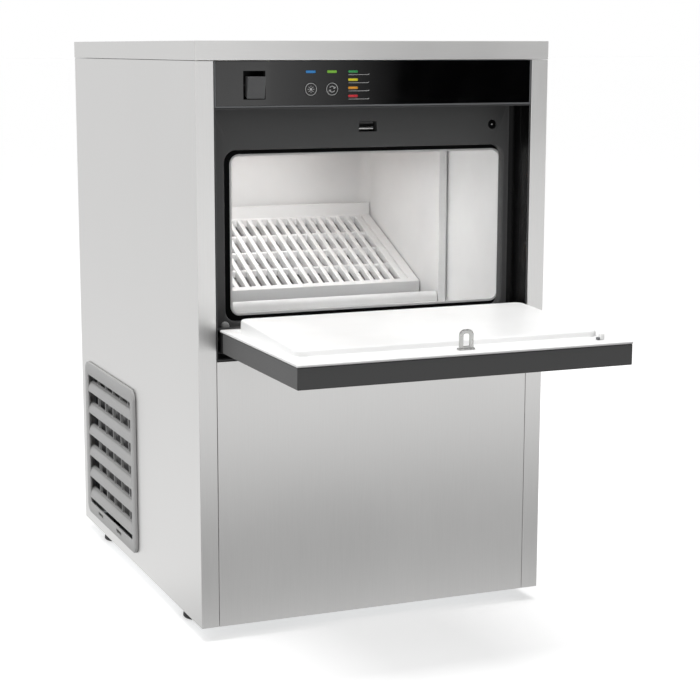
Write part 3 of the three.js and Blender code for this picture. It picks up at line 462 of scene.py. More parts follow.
def make_finishes():
    return {
        "steel": brushed_steel("steel", 2),
        "steel_across": brushed_steel("steel_across", 0),
        "galvanised": galvanised_steel(),
        "copper": bare_metal("copper", (0.72, 0.38, 0.22), 0.28, 0.65),
        "aluminium": bare_metal("aluminium", (0.74, 0.75, 0.76), 0.34),
        "chrome": bare_metal("chrome", (0.80, 0.80, 0.79), 0.14, 0.93),
        "frame_grey": moulded("frame_grey", (0.062, 0.0625, 0.063), 0.5),
        "flap_grey": moulded("flap_grey", (0.060, 0.0605, 0.061), 0.42, worn=(0.07, 0.07, 0.072)),
        "recess_black": moulded("recess_black", (0.0015, 0.0015, 0.0016), 0.3, specular_ior_level=0.12),
        "seal_black": moulded("seal_black", (0.0015, 0.0015, 0.0016), 0.8, specular_ior_level=0.1),
        "strike_metal": bare_metal("strike_metal", (0.50, 0.50, 0.49), 0.28, 0.9),
        "rocker_black": moulded("rocker_black", (0.105, 0.106, 0.108), 0.38),
        "housing_grey": moulded("housing_grey", (0.16, 0.165, 0.17), 0.45),
        "fascia_black": glossy_panel(),
        "grey_plastic": moulded("grey_plastic", (0.46, 0.46, 0.455), 0.42, 900, 0.00004, (0.6, 0.6, 0.6)),
        "white_plastic": moulded("white_plastic", (0.86, 0.86, 0.855), 0.38, 420, 0.00009),
        "white_slide": moulded("white_slide", (0.88, 0.88, 0.875), 0.35, 1500, 0.00003),
        "white_flap": moulded("white_flap", (0.90, 0.90, 0.895), 0.35, 1200, 0.00003),
        "rubber": moulded("rubber", (0.012, 0.012, 0.013), 0.62),
        "foam": foam_core(),
        "black_paint": moulded("black_paint", (0.015, 0.015, 0.016), 0.35, 500, 0.00006),
        "board_green": moulded("board_green", (0.02, 0.12, 0.05), 0.4),
        "print_grey": moulded("print_grey", (0.55, 0.55, 0.55), 0.6),
        "lens_blue": lit_lens("lens_blue", (0.045, 0.26, 0.62), 0.15),
        "lens_green": lit_lens("lens_green", (0.23, 0.54, 0.06), 0.15),
        "lens_go": lit_lens("lens_go", (0.03, 0.30, 0.08), 0.15),
        "lens_yellow": lit_lens("lens_yellow", (0.83, 0.75, 0.03), 0.15),
        "lens_orange": lit_lens("lens_orange", (0.83, 0.35, 0.03), 0.15),
        "lens_red": lit_lens("lens_red", (0.68, 0.03, 0.045), 0.15),
    }


# ---------------------------------------------------------------- mesh work
def grown(span, by):
    return (span[0] - by, span[1] + by)


def rounded_loop(us, vs, radius, steps=6):
    """A rounded rectangle as points (u, v), from the low right corner and counter-clockwise.

    radius is one number, or one for each corner in that order.
    """
    (u0, u1), (v0, v1) = us, vs
    radii = radius if isinstance(radius, tuple) else (radius,) * 4
    loop = []
    for u, v, start, r in zip((u1, u1, u0, u0), (v0, v1, v1, v0), (-90, 0, 90, 180), radii):
        centre = (u - math.copysign(r, u - (u0 + u1) / 2), v - math.copysign(r, v - (v0 + v1) / 2))
        for i in range(steps + 1):
            turn = math.radians(start + 90 * i / steps)
            loop.append((centre[0] + r * math.cos(turn), centre[1] + r * math.sin(turn)))
    return loop


def on_x(loop, x):
    return [spot(x, u, v) for u, v in loop]


def on_y(loop, y):
    return [spot(u, y, v) for u, v in loop]


def on_z(loop, z):
    return [spot(u, v, z) for u, v in loop]


def loft(loops, ring=False):
    """Skins loops that have as many points each. A ring joins the last to the first; else both ends close."""
    bm = bmesh.new()
    rows = [[bm.verts.new(point) for point in loop] for loop in loops]
    pairs = list(zip(rows, rows[1:])) + ([(rows[-1], rows[0])] if ring else [])
    for low, high in pairs:
        for i in range(len(low)):
            j = (i + 1) % len(low)
            bm.faces.new((low[i], low[j], high[j], high[i]))
    if not ring:
        bm.faces.new(rows[0])
        bm.faces.new(rows[-1])
    return bm


def turned(profile, axis, centre, steps=48):
    """A solid of revolution from (radius, along) points.

    The first and last radius are 0, or else the profile closes as a ring.
    """
    solid = profile[0][0] == 0
    loops = []
    for radius, along in profile[1:-1] if solid else profile:
        ring = []
        for i in range(steps):
            turn = 2 * math.pi * i / steps
            u, v = centre[0] + radius * math.cos(turn), centre[1] + radius * math.sin(turn)
            ring.append(spot(*{"x": (along, u, v), "y": (u, along, v), "z": (u, v, along)}[axis]))
        loops.append(ring)
    return loft(loops, ring=not solid)


def piece(name, bm, finish, body, stands_for=()):
    """Turns a bmesh into a smooth-shaded object that rides on a body."""
    bmesh.ops.remove_doubles(bm, verts=bm.verts, dist=1e-7)
    bmesh.ops.recalc_face_normals(bm, faces=bm.faces)
    mesh = bpy.data.meshes.new(name)
    bm.to_mesh(mesh)
    bm.free()
    mesh.materials.append(FINISHES[finish])
    mesh.shade_smooth()
    mesh.set_sharp_from_angle(angle=math.radians(38))
    made = bpy.data.objects.new(name, mesh)
    bpy.context.scene.collection.objects.link(made)
    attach(made, body)
    if stands_for:
        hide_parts(*stands_for)
    return made


def soften(made, width, segments=2, angle=38):
    """Rounds every edge sharper than angle by width millimetres."""
    bevel = made.modifiers.new("rounded_edges", "BEVEL")
    bevel.width = width * MM
    bevel.segments = segments
    bevel.limit_method = "ANGLE"
    bevel.angle_limit = math.radians(angle)
    bevel.harden_normals = True
    bevel.miter_outer = "MITER_ARC"
    normals = made.modifiers.new("even_shading", "WEIGHTED_NORMAL")
    normals.keep_sharp = True
    normals.weight = 80
    return made


def carve(made, *cutters):
    """Cuts closed bmeshes out of a piece."""
    for cutter in cutters:
        bmesh.ops.recalc_face_normals(cutter, faces=cutter.faces)
    whole = merged(*cutters)
    mesh = bpy.data.meshes.new("cutter")
    whole.to_mesh(mesh)
    whole.free()
    tool = bpy.data.objects.new("cutter", mesh)
    bpy.context.scene.collection.objects.link(tool)
    boolean = made.modifiers.new("cut", "BOOLEAN")
    boolean.operation = "DIFFERENCE"
    boolean.solver = "EXACT"
    boolean.use_self = True
    boolean.object = tool
    bpy.context.view_layer.update()
    cut = bpy.data.meshes.new_from_object(made.evaluated_get(bpy.context.evaluated_depsgraph_get()))
    made.modifiers.remove(boolean)
    made.data = cut
    cut.shade_smooth()
    cut.set_sharp_from_angle(angle=math.radians(38))
    bpy.data.objects.remove(tool)
    bpy.data.meshes.remove(mesh)
    return made


def merged(*solids):
    """Several closed bmeshes as one."""
    whole = bmesh.new()
    for solid in solids:
        mesh = bpy.data.meshes.new("part")
        solid.to_mesh(mesh)
        solid.free()
        whole.from_mesh(mesh)
        bpy.data.meshes.remove(mesh)
    return whole


def block(xs, ys, zs):
    return loft([on_z([(xs[0], ys[0]), (xs[1], ys[0]), (xs[1], ys[1]), (xs[0], ys[1])], z) for z in zs])


def refined(node, finish, width, segments=2):
    """The CAD shape itself with flat faces merged, unless they are pierced, and its edges rounded."""
    bm = bmesh.new()
    bm.from_mesh(frame["nodes"][node].data)
    bmesh.ops.remove_doubles(bm, verts=bm.verts, dist=2e-6)
    if node not in PIERCED:
        bmesh.ops.dissolve_limit(bm, angle_limit=math.radians(0.6), verts=bm.verts, edges=bm.edges)
    made = piece(f"{node}_fine", bm, finish, BODY_OF[node], (node,))
    return soften(made, width, segments)


# Sheets with so many holes that one outline per face would cross itself.
PIERCED = ("back_panel", "base_pan", "fan_shroud")
FINISHES = make_finishes()
HINGE_Y, HINGE_Z = (sum(span) / 2 for span in extent("hinge_pin_left")[1:])


# ---------------------------------------------------------------- doorway
RECESS_X, RECESS_Z, RECESS_DEPTH, RECESS_CORNER = 174.2, (280.2, 529.2), 36.0, 7.0
MOUTH_X, MOUTH_Z, MOUTH_RADIUS, JAMB_WALL = (-153.5, 162.0), (311.5, 487.0), 12.5, 2.5
SLOT_X, SLOT_Z = (-5.8, 14.2), (503.25, 513.75)
SENSOR_AT = (149.0, 508.5)
BUFFER_X, BUFFER_Z = 155.0, 308.4
LIP_TOP, LIP_FOOT = 0.3, 0.9       # where the recess's outer lip ends and its straight walls begin
BEAD_Y, BEAD = (18.4, 21.0), 0.4   # a bead that runs round the walls half way down


def make_door_frame():
    """One moulding: outer lip, deep side walls with a bead and a fillet, the face, and the mouth's jamb."""
    xs, (_, jamb_end), zs = extent("door_frame")
    back = RECESS_DEPTH + JAMB_WALL

    def outside(inset, y):
        return on_y(rounded_loop(grown(xs, -inset), grown(zs, -inset), 0.5), y)

    def wall(half, spread, y):
        return on_y(rounded_loop((-half, half), grown(RECESS_Z, spread), 0.5), y)

    def mouth(spread, y):
        return on_y(rounded_loop(grown(MOUTH_X, spread), grown(MOUTH_Z, spread), MOUTH_RADIUS + spread), y)

    loops = [outside(0, back), outside(0, LIP_FOOT), outside(0.1, 0.5), outside(0.35, LIP_TOP)]
    loops += [wall(RECESS_X + 0.35, 0.35, LIP_TOP), wall(RECESS_X + 0.1, 0.1, 0.5), wall(RECESS_X, 0, LIP_FOOT)]
    for y, bead in ((BEAD_Y[0], 0), (BEAD_Y[0] + 0.5, BEAD), (BEAD_Y[1] - 0.5, BEAD), (BEAD_Y[1], 0)):
        loops.append(wall(RECESS_X - bead, 0, y))
    for step in range(7):
        turn = math.radians(15 * step)
        half = RECESS_X - RECESS_CORNER * (1 - math.cos(turn))
        loops.append(wall(half, 0, RECESS_DEPTH - RECESS_CORNER * (1 - math.sin(turn))))
    for spread, sink in ((1.8, 0), (0.8, 0.25), (0.2, 0.9), (0, 1.8)):
        loops.append(mouth(spread, RECESS_DEPTH + sink))
    loops += [mouth(0, jamb_end), mouth(JAMB_WALL, jamb_end), mouth(JAMB_WALL, back)]
    moulding = loft(loops, ring=True)
    made = piece("door_frame_moulding", moulding, "frame_grey", "cabinet", ("door_frame",))
    pins = [turned([(0, x0), (3.3, x0), (3.3, x1), (0, x1)], "x", (HINGE_Y, HINGE_Z))
            for x0, x1 in ((-180, -172), (172, 180))]
    post = [(0, 30), (2.2, 30), (2.2, 50), (0, 50)]
    buffers = [turned(post, "y", (x, BUFFER_Z), 24) for x in (-BUFFER_X, BUFFER_X)]
    sensor = turned([(0, 30), (5, 30), (5, 45), (0, 45)], "y", SENSOR_AT)
    carve(made, block(SLOT_X, (30, 42), SLOT_Z), sensor, *pins, *buffers)
    # Painted shade: the recess's side walls take the glossy black finish, for the dark they show deep in the
    # recess.
    made.data.materials.append(FINISHES["recess_black"])
    zero = spot(0, 0, 0)
    for face in made.data.polygons:
        x, y = abs(face.center.x - zero.x) / MM, (face.center.y - zero.y) / MM
        if RECESS_X - RECESS_CORNER + 0.5 < x < RECESS_X + 0.05 and 1.0 < y < RECESS_DEPTH - 0.2:
            face.material_index = 1


def make_doorway_trim():
    """The seal behind the jamb, the sensor's nose, the two buffers and the turned hinge pins."""
    refined("mouth_seal", "seal_black", 0.3)
    nose = [(0, 37.2), (3.4, 37.2), (4.2, 37.5), (4.6, 38.2), (4.6, 58), (0, 58)]
    collar = [(0, 39), (8, 39), (8, 42), (0, 42)]
    tip = [(0, 36.2), (0.6, 36.25), (0.9, 36.6), (0.9, 38), (0, 38)]
    sensor = merged(turned(nose, "y", SENSOR_AT), turned(collar, "y", SENSOR_AT))
    piece("door_sensor_body", sensor, "seal_black", "cabinet", ("door_sensor",))
    piece("door_sensor_tip", turned(tip, "y", SENSOR_AT, 24), "print_grey", "cabinet")
    for side, hand in ((-1, "left"), (1, "right")):
        head = [(0, 32.0), (2.6, 32.05), (3.6, 32.4), (4.2, 33.1), (4.4, 34)]
        stem = [(4.4, 35.7), (1.8, 35.7), (1.8, 44.6), (0, 44.6)]
        pad = turned(head + stem, "y", (side * BUFFER_X, BUFFER_Z), 40)
        piece(f"buffer_{hand}_pad", pad, "grey_plastic", "cabinet", (f"buffer_{hand}",))
        pin = f"hinge_pin_{hand}"
        tail, tip_x = extent(pin)[0][::side]
        shaft = [(0, tail), (2.6, tail), (3, tail + side * 0.6), (3, tip_x - side * 2.2)]
        flange = [(4.2, tip_x - side * 2.2), (4.2, tip_x - side * 0.4), (3.8, tip_x), (0, tip_x)]
        bolt = turned(shaft + flange, "x", (HINGE_Y, HINGE_Z), 40)
        piece(f"{pin}_turned", bolt, "chrome", "cabinet", (pin,))


# ---------------------------------------------------------------- flap, drawn where it lies open
PLUG_X, PLUG_Y = (-160.0, 160.0), (HINGE_Y - 191, HINGE_Y - 26)
PLUG_DRAFT, PLUG_WALL = 3.0, 2.0
RIM_LOW, RIM_TOP = HINGE_Z + 9.4, HINGE_Z + 11.7


def plug_crest(y):
    """Height of the plug's sloping top."""
    return HINGE_Z + 17.2 + (y - HINGE_Y + 188) * (23.9 - 17.2) / 159


def gutter(y):
    """How far the channel round the plug sinks below the rim: deepest at the hinge end."""
    near = min(1, max(0, (y - HINGE_Y + 130) / 75))
    return 1.7 * near * near * (3 - 2 * near)


def plug_loop(spread, radius, height):
    loop = rounded_loop(grown(PLUG_X, spread), grown(PLUG_Y, spread), radius, 8)
    return [spot(x, y, height(y)) for x, y in loop]


def make_flap_liner():
    xs, ys, _ = extent("flap_liner")

    def rim(inset, z):
        return on_z(rounded_loop(grown(xs, -inset), grown(ys, -inset), 1.2, 8), z)

    def low(y):
        return RIM_LOW

    loops = [plug_loop(-PLUG_WALL - PLUG_DRAFT, 4, lambda y: plug_crest(y) - PLUG_WALL)]
    loops.append(plug_loop(-PLUG_WALL, 4, low))
    loops += [rim(0.5, RIM_LOW), rim(0.1, RIM_LOW + 0.15), rim(0, RIM_LOW + 0.5), rim(0, RIM_TOP - 0.9)]
    loops += [rim(0.25, RIM_TOP - 0.3), rim(0.9, RIM_TOP)]
    loops.append(plug_loop(7.0, 14, lambda y: RIM_TOP))
    fillet = ((5.4, 14, 0.0), (2.0, 20, 0.0), (0.9, 18, 0.15), (0.3, 16, 0.5), (0.0, 14, 1.2))
    for spread, radius, lift in fillet:
        loops.append(plug_loop(spread, radius, lambda y, lift=lift: RIM_TOP - gutter(y) + lift))
    crest = ((-1.6, 9, 1.6), (-1.8, 9, 0.9), (-2.2, 8.5, 0.4), (-2.8, 8, 0.1), (-3.6, 7.5, 0.0))
    for spread, radius, drop in crest:
        loops.append(plug_loop(spread, radius, lambda y, drop=drop: plug_crest(y) - drop))
    piece("flap_liner_moulding", loft(loops), "white_flap", "flap", ("flap_liner",))


def make_flap_foam():
    """The filling: a slab in the shell and a rounded block up inside the plug."""
    xs, ys, (z0, _) = extent("flap_foam")

    def slab(z):
        return on_z(rounded_loop(grown(xs, -0.3), grown(ys, -0.3), 3, 8), z)

    loops = [slab(z0), slab(RIM_LOW - 0.3), plug_loop(-4.5, 12, lambda y: RIM_LOW - 0.2)]
    loops.append(plug_loop(-8.0, 12, lambda y: plug_crest(y) - 3.4))
    piece("flap_foam_filling", loft(loops), "foam", "flap", ("flap_foam",))


def make_strike_loop():
    """A bent plate standing on its foot, with a window, held by one screw."""
    (x0, x1), (y0, y1), (z0, z1) = extent("strike_loop")
    x, y = (x0 + x1) / 2, (y0 + y1) / 2 - 0.5
    arch_x, arch_z = (x - 7.2, x + 7.2), (z0 + 0.2, z1)
    window_x, window_z = (x - 3.4, x + 3.4), (z0 + 3.4, z1 - 3.8)

    def edge(inset, depth):
        outline = rounded_loop(grown(arch_x, -inset), grown(arch_z, -inset), (0.6, 5.4, 5.4, 0.6), 8)
        return on_y(outline, y + depth)

    def hole(inset, depth):
        outline = rounded_loop(grown(window_x, inset), grown(window_z, inset), (1.0, 2.6, 2.6, 1.0), 8)
        return on_y(outline, y + depth)

    ring = [edge(0.4, -1.3), edge(0.1, -1.15), edge(0, -0.8), edge(0, 0.8), edge(0.1, 1.15), edge(0.4, 1.3)]
    ring += [hole(0.4, 1.3), hole(0.1, 1.15), hole(0, 0.8), hole(0, -0.8), hole(0.1, -1.15), hole(0.4, -1.3)]
    foot = [on_z(rounded_loop((x0 + i, x1 - i), (y0 + i, y1 - i), 1.2), z) for i, z in
            ((0, z0), (0, z0 + 1.0), (0.12, z0 + 1.28), (0.4, z0 + 1.4))]
    plate = merged(loft(ring, ring=True), loft(foot))
    piece("strike_loop_plate", plate, "strike_metal", "flap", ("strike_loop",))
    head = [(0, z0 + 1.3), (1.7, z0 + 1.3), (1.7, z0 + 1.7), (1.3, z0 + 2.3), (0.6, z0 + 2.6), (0, z0 + 2.65)]
    piece("strike_loop_screw", turned(head, "z", (x + 1.4, y + 2.4), 24), "chrome", "flap")


def make_door_magnet():
    (x0, x1), (y0, y1), (z0, z1) = extent("door_magnet")
    ends = ((0.4, z0), (0, z0 + 0.4), (0, z1 - 0.6), (0.18, z1 - 0.18), (0.6, z1))
    shell = [on_z(rounded_loop((x1 - 4.4 + i, x1 - i), (y0 + i, y1 - i), 0.8), z) for i, z in ends]
    piece("door_magnet_block", loft(shell), "white_plastic", "flap", ("door_magnet",))
    tab = [on_z(rounded_loop((x0 + i, x1 - 4.6 - i), (y0 + 0.6 + i, y1 - 0.6 - i), 0.4), z) for i, z in
           ((0.1, z0), (0, z0 + 0.2), (0, z0 + 2.1), (0.3, z0 + 2.5))]
    piece("door_magnet_tab", loft(tab), "housing_grey", "flap")


# ---------------------------------------------------------------- ice slide
SLIDE_COLUMNS, SLIDE_PITCH, SLIDE_SLOT, SLIDE_ROWS = 22, 12.9, 7.6, 4
SLIDE_THICKNESS, SLIDE_CROSS_BAR, SLIDE_LIP, SLIDE_GUARD = 9.0, 2.6, 14.0, 15.0
SLIDE_MARGIN, BAR_DROP, GROOVE_DEPTH, SLIDE_ROUND = 7.0, 1.3, 3.0, 0.7
SILL_DEPTH = 10.9


def make_ice_slide():
    """Slats and sunk cross bars over open slots, a groove down each side, a lip and a rear guard."""
    (x0, x1), (front, rear), (lip_foot, guard_top) = extent("ice_slide")
    back = rear - 3
    low, high = lip_foot + SLIDE_LIP, guard_top - SLIDE_GUARD
    step = (back - front - SLIDE_MARGIN) / SLIDE_ROWS
    marks = [front]
    for row in range(SLIDE_ROWS):
        start = front + SLIDE_MARGIN + row * step
        marks += [start, start + step - SLIDE_CROSS_BAR]
    marks.append(back)
    crest = [(y, low + (high - low) * (y - front) / (back - front)) for y in marks]
    under = [(y, z - SLIDE_THICKNESS) for y, z in crest[1:-1]]
    section = crest + [(back, guard_top), (rear, guard_top), (rear, high - SLIDE_THICKNESS)] + under[::-1]
    section += [(front + 3, low - SLIDE_THICKNESS), (front + 3, lip_foot), (front, lip_foot)]
    cuts = [x0]
    for column in range(SLIDE_COLUMNS):
        middle = (x0 + x1) / 2 + (column - (SLIDE_COLUMNS - 1) / 2) * SLIDE_PITCH
        half = SLIDE_SLOT / 2 if 0 < column < SLIDE_COLUMNS - 1 else SLIDE_SLOT / 6
        cuts += [middle - half, middle + half]
    cuts.append(x1)
    bm = bmesh.new()
    grid = [[bm.verts.new(spot(x, y, z)) for y, z in section] for x in cuts]
    count = len(section)
    last = len(crest) - 1
    below = {mark: count - 3 - mark for mark in range(1, last)}
    underside = set(below.values())
    drop = Vector((0, 0, BAR_DROP * MM))
    for i, (left, right) in enumerate(zip(grid, grid[1:])):
        slotted = i % 2 == 1
        grooved = i in (1, 2 * SLIDE_COLUMNS - 1)
        for j in range(count):
            k = (j + 1) % count
            on_top = slotted and 1 <= j < last - 1
            through = slotted and not grooved and j in underside and k in underside and j % 2
            if not (on_top or through):
                bm.faces.new((left[j], left[k], right[k], right[j]))
        if grooved:
            add_groove(bm, left, right, last)
        elif slotted:
            add_slots(bm, left, right, last, below, drop)
    bm.faces.new(grid[0])
    bm.faces.new(grid[-1])
    made = piece("ice_slide_moulding", bm, "white_slide", "cabinet", ("ice_slide",))
    soften(made, SLIDE_ROUND, 3, 30)


def add_groove(bm, left, right, last):
    """Closes one outer column of the slide with a shallow groove."""
    ends = (1, last - 1)
    sink = Vector((0, 0, GROOVE_DEPTH * MM))
    floor = [[bm.verts.new(row[m].co - sink) for m in ends] for row in (left, right)]
    bm.faces.new((floor[0][0], floor[0][1], floor[1][1], floor[1][0]))
    for row, (near, far) in zip((left, right), floor):
        bm.faces.new([row[m] for m in range(1, last)] + [far, near])
    for end, mark in enumerate(ends):
        bm.faces.new((left[mark], right[mark], floor[1][end], floor[0][end]))


def add_slots(bm, left, right, last, below, drop):
    """Closes one column of the slide round its slots; the bars between them lie lower than the slats."""
    tops = []
    for row in (left, right):
        tops.append({m: bm.verts.new(row[m].co - drop) if 1 < m < last - 1 else row[m] for m in below})
    for mark in range(1, last, 2):
        for row, top in zip((left, right), tops):
            near, far = mark, mark + 1
            wall = [row[near], row[far], top[far], row[below[far]], row[below[near]], top[near]]
            bm.faces.new(list(dict.fromkeys(wall)))
        for m in (mark, mark + 1):
            bm.faces.new((tops[0][m], tops[1][m], right[below[m]], left[below[m]]))
    for mark in range(2, last - 1, 2):
        bm.faces.new((tops[0][mark], tops[0][mark + 1], tops[1][mark + 1], tops[1][mark]))
        for row, top in zip((left, right), tops):
            bm.faces.new((row[mark], row[mark + 1], top[mark + 1], top[mark]))


def make_water_sump():
    """White on the sill in front; the tray behind the sill gets the dark grey finish as painted shade."""
    made = refined("water_sump", "white_plastic", 0.8)
    # Painted shade: every face behind the sill takes the dark grey finish.
    made.data.materials.append(FINISHES["frame_grey"])
    inside = extent("water_sump")[1][0] + SILL_DEPTH
    zero = spot(0, 0, 0)
    for face in made.data.polygons:
        if (face.center.y - zero.y) / MM > inside:
            face.material_index = 1


# ---------------------------------------------------------------- side vent
VENT_BLADES = 6
BLADE_DEPTH, BLADE_FOOT, BLADE_HEIGHT, BLADE_WALL = 6.0, 6.5, 11.0, (1.6, 0.6)
RIB_PITCH, RIB_START, RIB_HALF = 33.6, 26.5, 0.8
CLIP_Y, CLIP_WIDTH, CLIP_Z = (295, 377), 22, (21.2, 25.4)
FRAME_LAP = 4.5                    # how far the border reaches past its window, behind its face


def make_vent_grille():
    """A rounded border with two clip pockets, curved blades, upright ribs in the gaps, and a black mat behind
    them and in the pockets as painted shade.
    """
    (outer, inner), ys, zs = extent("side_vent_grille")
    wall = outer + 3
    window_y, window_z = (ys[0] + 14, ys[1] - 13), (zs[0] + 14, zs[1] - 16)

    def border(inset, x):
        return on_x(rounded_loop(grown(ys, -inset), grown(zs, -inset), 12 - inset * 0.8, 8), x)

    def opening(spread, x):
        return on_x(rounded_loop(grown(window_y, spread), grown(window_z, spread), 3.0 + spread, 8), x)

    shell = [border(0, wall - 0.05), border(0, outer + 1.2), border(0.3, outer + 0.5), border(1.2, outer)]
    shell += [opening(1.0, outer), opening(0.3, outer + 0.3), opening(0, outer + 1.0)]
    shell += [opening(0, outer + 1.8), opening(FRAME_LAP, outer + 1.8), opening(FRAME_LAP, wall - 0.05)]
    louvres = []
    pitch = (window_z[1] - window_z[0]) / VENT_BLADES
    for row in range(VENT_BLADES):
        foot = window_z[0] + row * pitch
        face = []
        for i in range(9):
            turn = math.radians(90 * i / 8)
            depth = outer + 0.3 + BLADE_DEPTH * (1 - math.cos(turn))
            face.append((depth, foot + BLADE_FOOT + BLADE_HEIGHT * math.sin(turn)))
        hidden = [(x + BLADE_WALL[0], z + BLADE_WALL[1]) for x, z in face[::-1]]
        section = face + hidden
        louvres.append(loft([[spot(x, y, z) for x, z in section] for y in grown(window_y, 4.4)]))
    for rib in range(5):
        y = window_y[1] - RIB_START - rib * RIB_PITCH
        ends = (window_z[0] + 2, window_z[1] + 4.6)
        depth = (outer + BLADE_DEPTH, outer + BLADE_DEPTH + 3)
        louvres.append(block(depth, (y - RIB_HALF, y + RIB_HALF), ends))
    piece("side_vent_louvres", merged(*louvres), "grey_plastic", "cabinet")
    border_shell = loft(shell, ring=True)
    made = piece("side_vent_grille_moulding", border_shell, "grey_plastic", "cabinet", ("side_vent_grille",))
    clips = [(y, y + CLIP_WIDTH) for y in CLIP_Y]
    # Painted shade: black beds at the bottom of the clip pockets and a black mat behind the louvres stand in
    # for the dark inside.
    beds = [block((outer + 1.6, outer + 2.3), grown(along, -0.1), grown(CLIP_Z, -0.1)) for along in clips]
    mat = block((inner - 1.4, inner - 0.4), grown(window_y, 4), grown(window_z, 4))
    piece("side_vent_shade_mat", merged(mat, *beds), "black_paint", "cabinet")
    carve(made, *[block((outer - 5, outer + 2.4), along, CLIP_Z) for along in clips])


# ---------------------------------------------------------------- console
KEY_X, KEY_Z = {"key_left": -73.7, "key_right": -50.8}, 548.2
LAMP_X0, LAMP_X1 = -33.0, -22.6
STATUS_LEVELS = (565.5, 557.4, 549.3, 541.2)
STATUS_FINISH = ("lens_go", "lens_yellow", "lens_orange", "lens_red")
PRINT_Y = (-0.03, 0.12)


def stroke(points, width, ys=PRINT_Y):
    """A printed line of even width along (x, z) points."""
    loops = []
    for i, (x, z) in enumerate(points):
        before, after = points[max(0, i - 1)], points[min(len(points) - 1, i + 1)]
        along = Vector((after[0] - before[0], after[1] - before[1])).normalized() * (width / 2)
        loops.append([spot(x - along.y, ys[0], z + along.x), spot(x + along.y, ys[0], z - along.x),
                      spot(x + along.y, ys[1], z - along.x), spot(x - along.y, ys[1], z + along.x)])
    return loft(loops)


def arc(x, z, radius, start, end, steps=14):
    turns = [math.radians(start + (end - start) * i / steps) for i in range(steps + 1)]
    return [(x + radius * math.cos(t), z + radius * math.sin(t)) for t in turns]


def make_console_marks():
    """Grey rings and plain symbols on the keys, and a line under each status lamp."""
    on_key = (-0.16, 0.0)
    for node, x in KEY_X.items():
        profile = [(5.7, on_key[1]), (6.3, on_key[1]), (6.3, on_key[0]), (5.7, on_key[0])]
        ring = turned(profile, "y", (x, KEY_Z), 64)
        piece(f"{node}_ring", ring, "print_grey", node)
    x = KEY_X["key_left"]
    rays = []
    for i in range(8):
        dx, dz = math.cos(math.radians(45 * i)), math.sin(math.radians(45 * i))
        ray = [(x + reach * dx, KEY_Z + reach * dz) for reach in (2.1, 3.5)]
        rays.append(stroke(ray, 0.55, on_key))
    disc = turned([(0, on_key[0]), (1.35, on_key[0]), (1.35, on_key[1]), (0, on_key[1])], "y", (x, KEY_Z), 24)
    piece("key_left_symbol", merged(disc, *rays), "print_grey", "key_left")
    x = KEY_X["key_right"]
    turns = [stroke(arc(x, KEY_Z, 2.9, start, start + 130), 0.7, on_key) for start in (20, 200)]
    heads = []
    for side in (1, -1):
        barbs = [(x + side * dx, KEY_Z + side * dz) for dx, dz in ((1.225, 1.1), (2.75, 0.75), (3.7, 2.2))]
        heads.append(stroke(barbs, 0.6, on_key))
    piece("key_right_symbol", merged(*turns, *heads), "print_grey", "key_right")
    for i, level in enumerate(STATUS_LEVELS):
        line = [(LAMP_X0, level - 3.1), (-11.2, level - 3.1), (-10.3, level - 2.2)]
        piece(f"status_line_{i + 1}", stroke(line, 0.5), "print_grey", "cabinet")


def make_status_lamps():
    """Four lenses of their own colours on one light guide."""
    _, (front, rear), zs = extent("status_lens")
    for i, (level, finish) in enumerate(zip(STATUS_LEVELS, STATUS_FINISH)):
        loops = []
        for inset, y in ((0.3, front), (0.08, front + 0.08), (0, front + 0.3), (0, rear - 1.6)):
            up = (level - 1.2 + inset, level + 1.2 - inset)
            loops.append(on_y(rounded_loop(grown((LAMP_X0, LAMP_X1), -inset), up, 0.9 - inset), y))
        stands_for = ("status_lens",) if i == 0 else ()
        piece(f"status_lamp_{i + 1}", loft(loops), finish, "cabinet", stands_for)
    guide = block((LAMP_X0 - 1.8, LAMP_X1 + 1.8), (rear - 1.59, rear), zs)
    piece("status_light_guide", guide, "white_plastic", "cabinet")


# ---------------------------------------------------------------- feet and rear fittings
def make_feet():
    for node in [name for name in SLOT_OF if name.startswith("foot_")]:
        (x0, x1), (y0, y1), (z0, _) = extent(node)
        sole = [(0, z0), (13.6, z0), (14.6, z0 + 0.4), (15.8, z0 + 1.6), (16, z0 + 2.4), (15.9, z0 + 3.4)]
        sole += [(15.0, z0 + 10), (14.6, z0 + 14.6), (13.9, z0 + 15.7), (4, z0 + 15.7)]
        stud = [(4, z0 + 27), (0, z0 + 27)]
        pad = turned(sole + stud, "z", ((x0 + x1) / 2, (y0 + y1) / 2), 56)
        piece(f"{node}_pad", pad, "rubber", "cabinet", (node,))


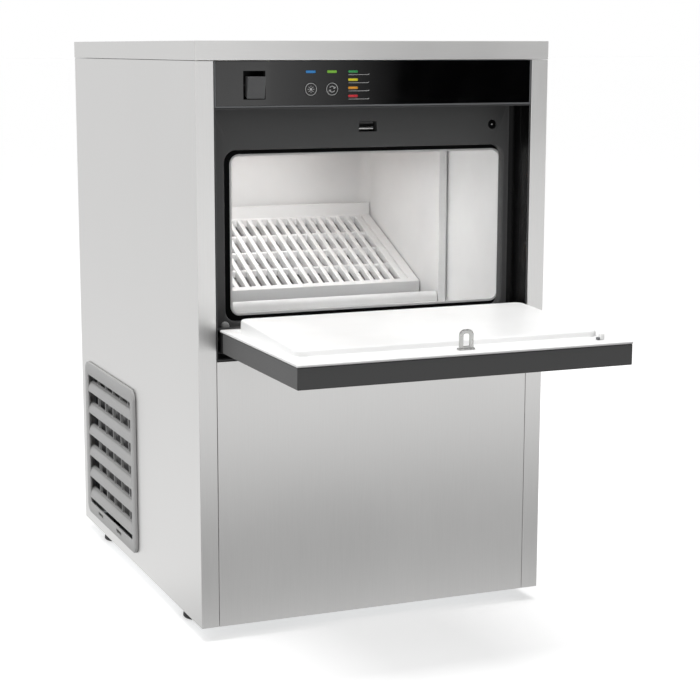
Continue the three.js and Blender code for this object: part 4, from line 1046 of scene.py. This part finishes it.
# Everything else keeps its CAD shape, with flat faces merged and edges rounded: finish and edge radius.
REFINED = {
    "side_panel_left": ("steel", 0.5), "side_panel_right": ("steel", 0.5),
    "lower_front_panel": ("steel", 0.5), "top_lid": ("steel_across", 0.5),
    "back_panel": ("galvanised", 0.2), "base_pan": ("galvanised", 0.3),
    "console_housing": ("housing_grey", 0.3), "console_fascia": ("fascia_black", 0.12),
    "rocker_housing": ("recess_black", 0.2), "rocker": ("rocker_black", 0.5),
    "key_left": ("fascia_black", 0.15), "key_right": ("fascia_black", 0.15),
    "lamp_lens_left": ("lens_blue", 0.15), "lamp_lens_right": ("lens_green", 0.15),
    "control_board": ("board_green", 0.1), "latch_catch": ("frame_grey", 0.2), "catch_jaw": ("chrome", 0.2),
    "flap_shell": ("flap_grey", 0.8),
    "hinge_cap_left": ("recess_black", 0.4), "hinge_cap_right": ("recess_black", 0.4),
    "bin_liner": ("white_plastic", 1.0), "cabinet_foam": ("foam", 0.5), "ice_lining": ("white_plastic", 0.8),
    "spray_bar": ("white_plastic", 0.4),
    "evaporator": ("copper", 0.4), "evaporator_coil": ("copper", 0.3),
    "water_pump": ("rubber", 0.6), "pump_impeller": ("white_plastic", 0.3), "pump_hose": ("rubber", 0.3),
    "inlet_valve": ("white_plastic", 0.5), "drain_fitting": ("grey_plastic", 0.4),
    "cord_gland": ("rubber", 0.3), "condenser": ("aluminium", 0.3), "fan_shroud": ("galvanised", 0.4),
    "fan_motor": ("black_paint", 0.6), "compressor": ("black_paint", 0.8), "hot_gas_valve": ("copper", 0.4),
    "discharge_tube": ("copper", 0.3), "suction_tube": ("copper", 0.3), "liquid_line": ("copper", 0.3),
    "fan_blade": ("aluminium", 0.3),
}

make_camera()
make_studio()
make_door_frame()
make_doorway_trim()
make_flap_liner()
make_flap_foam()
make_strike_loop()
make_door_magnet()
make_ice_slide()
make_water_sump()
make_vent_grille()
make_console_marks()
make_status_lamps()
make_feet()
for part, (look, edge) in REFINED.items():
    refined(part, look, edge)
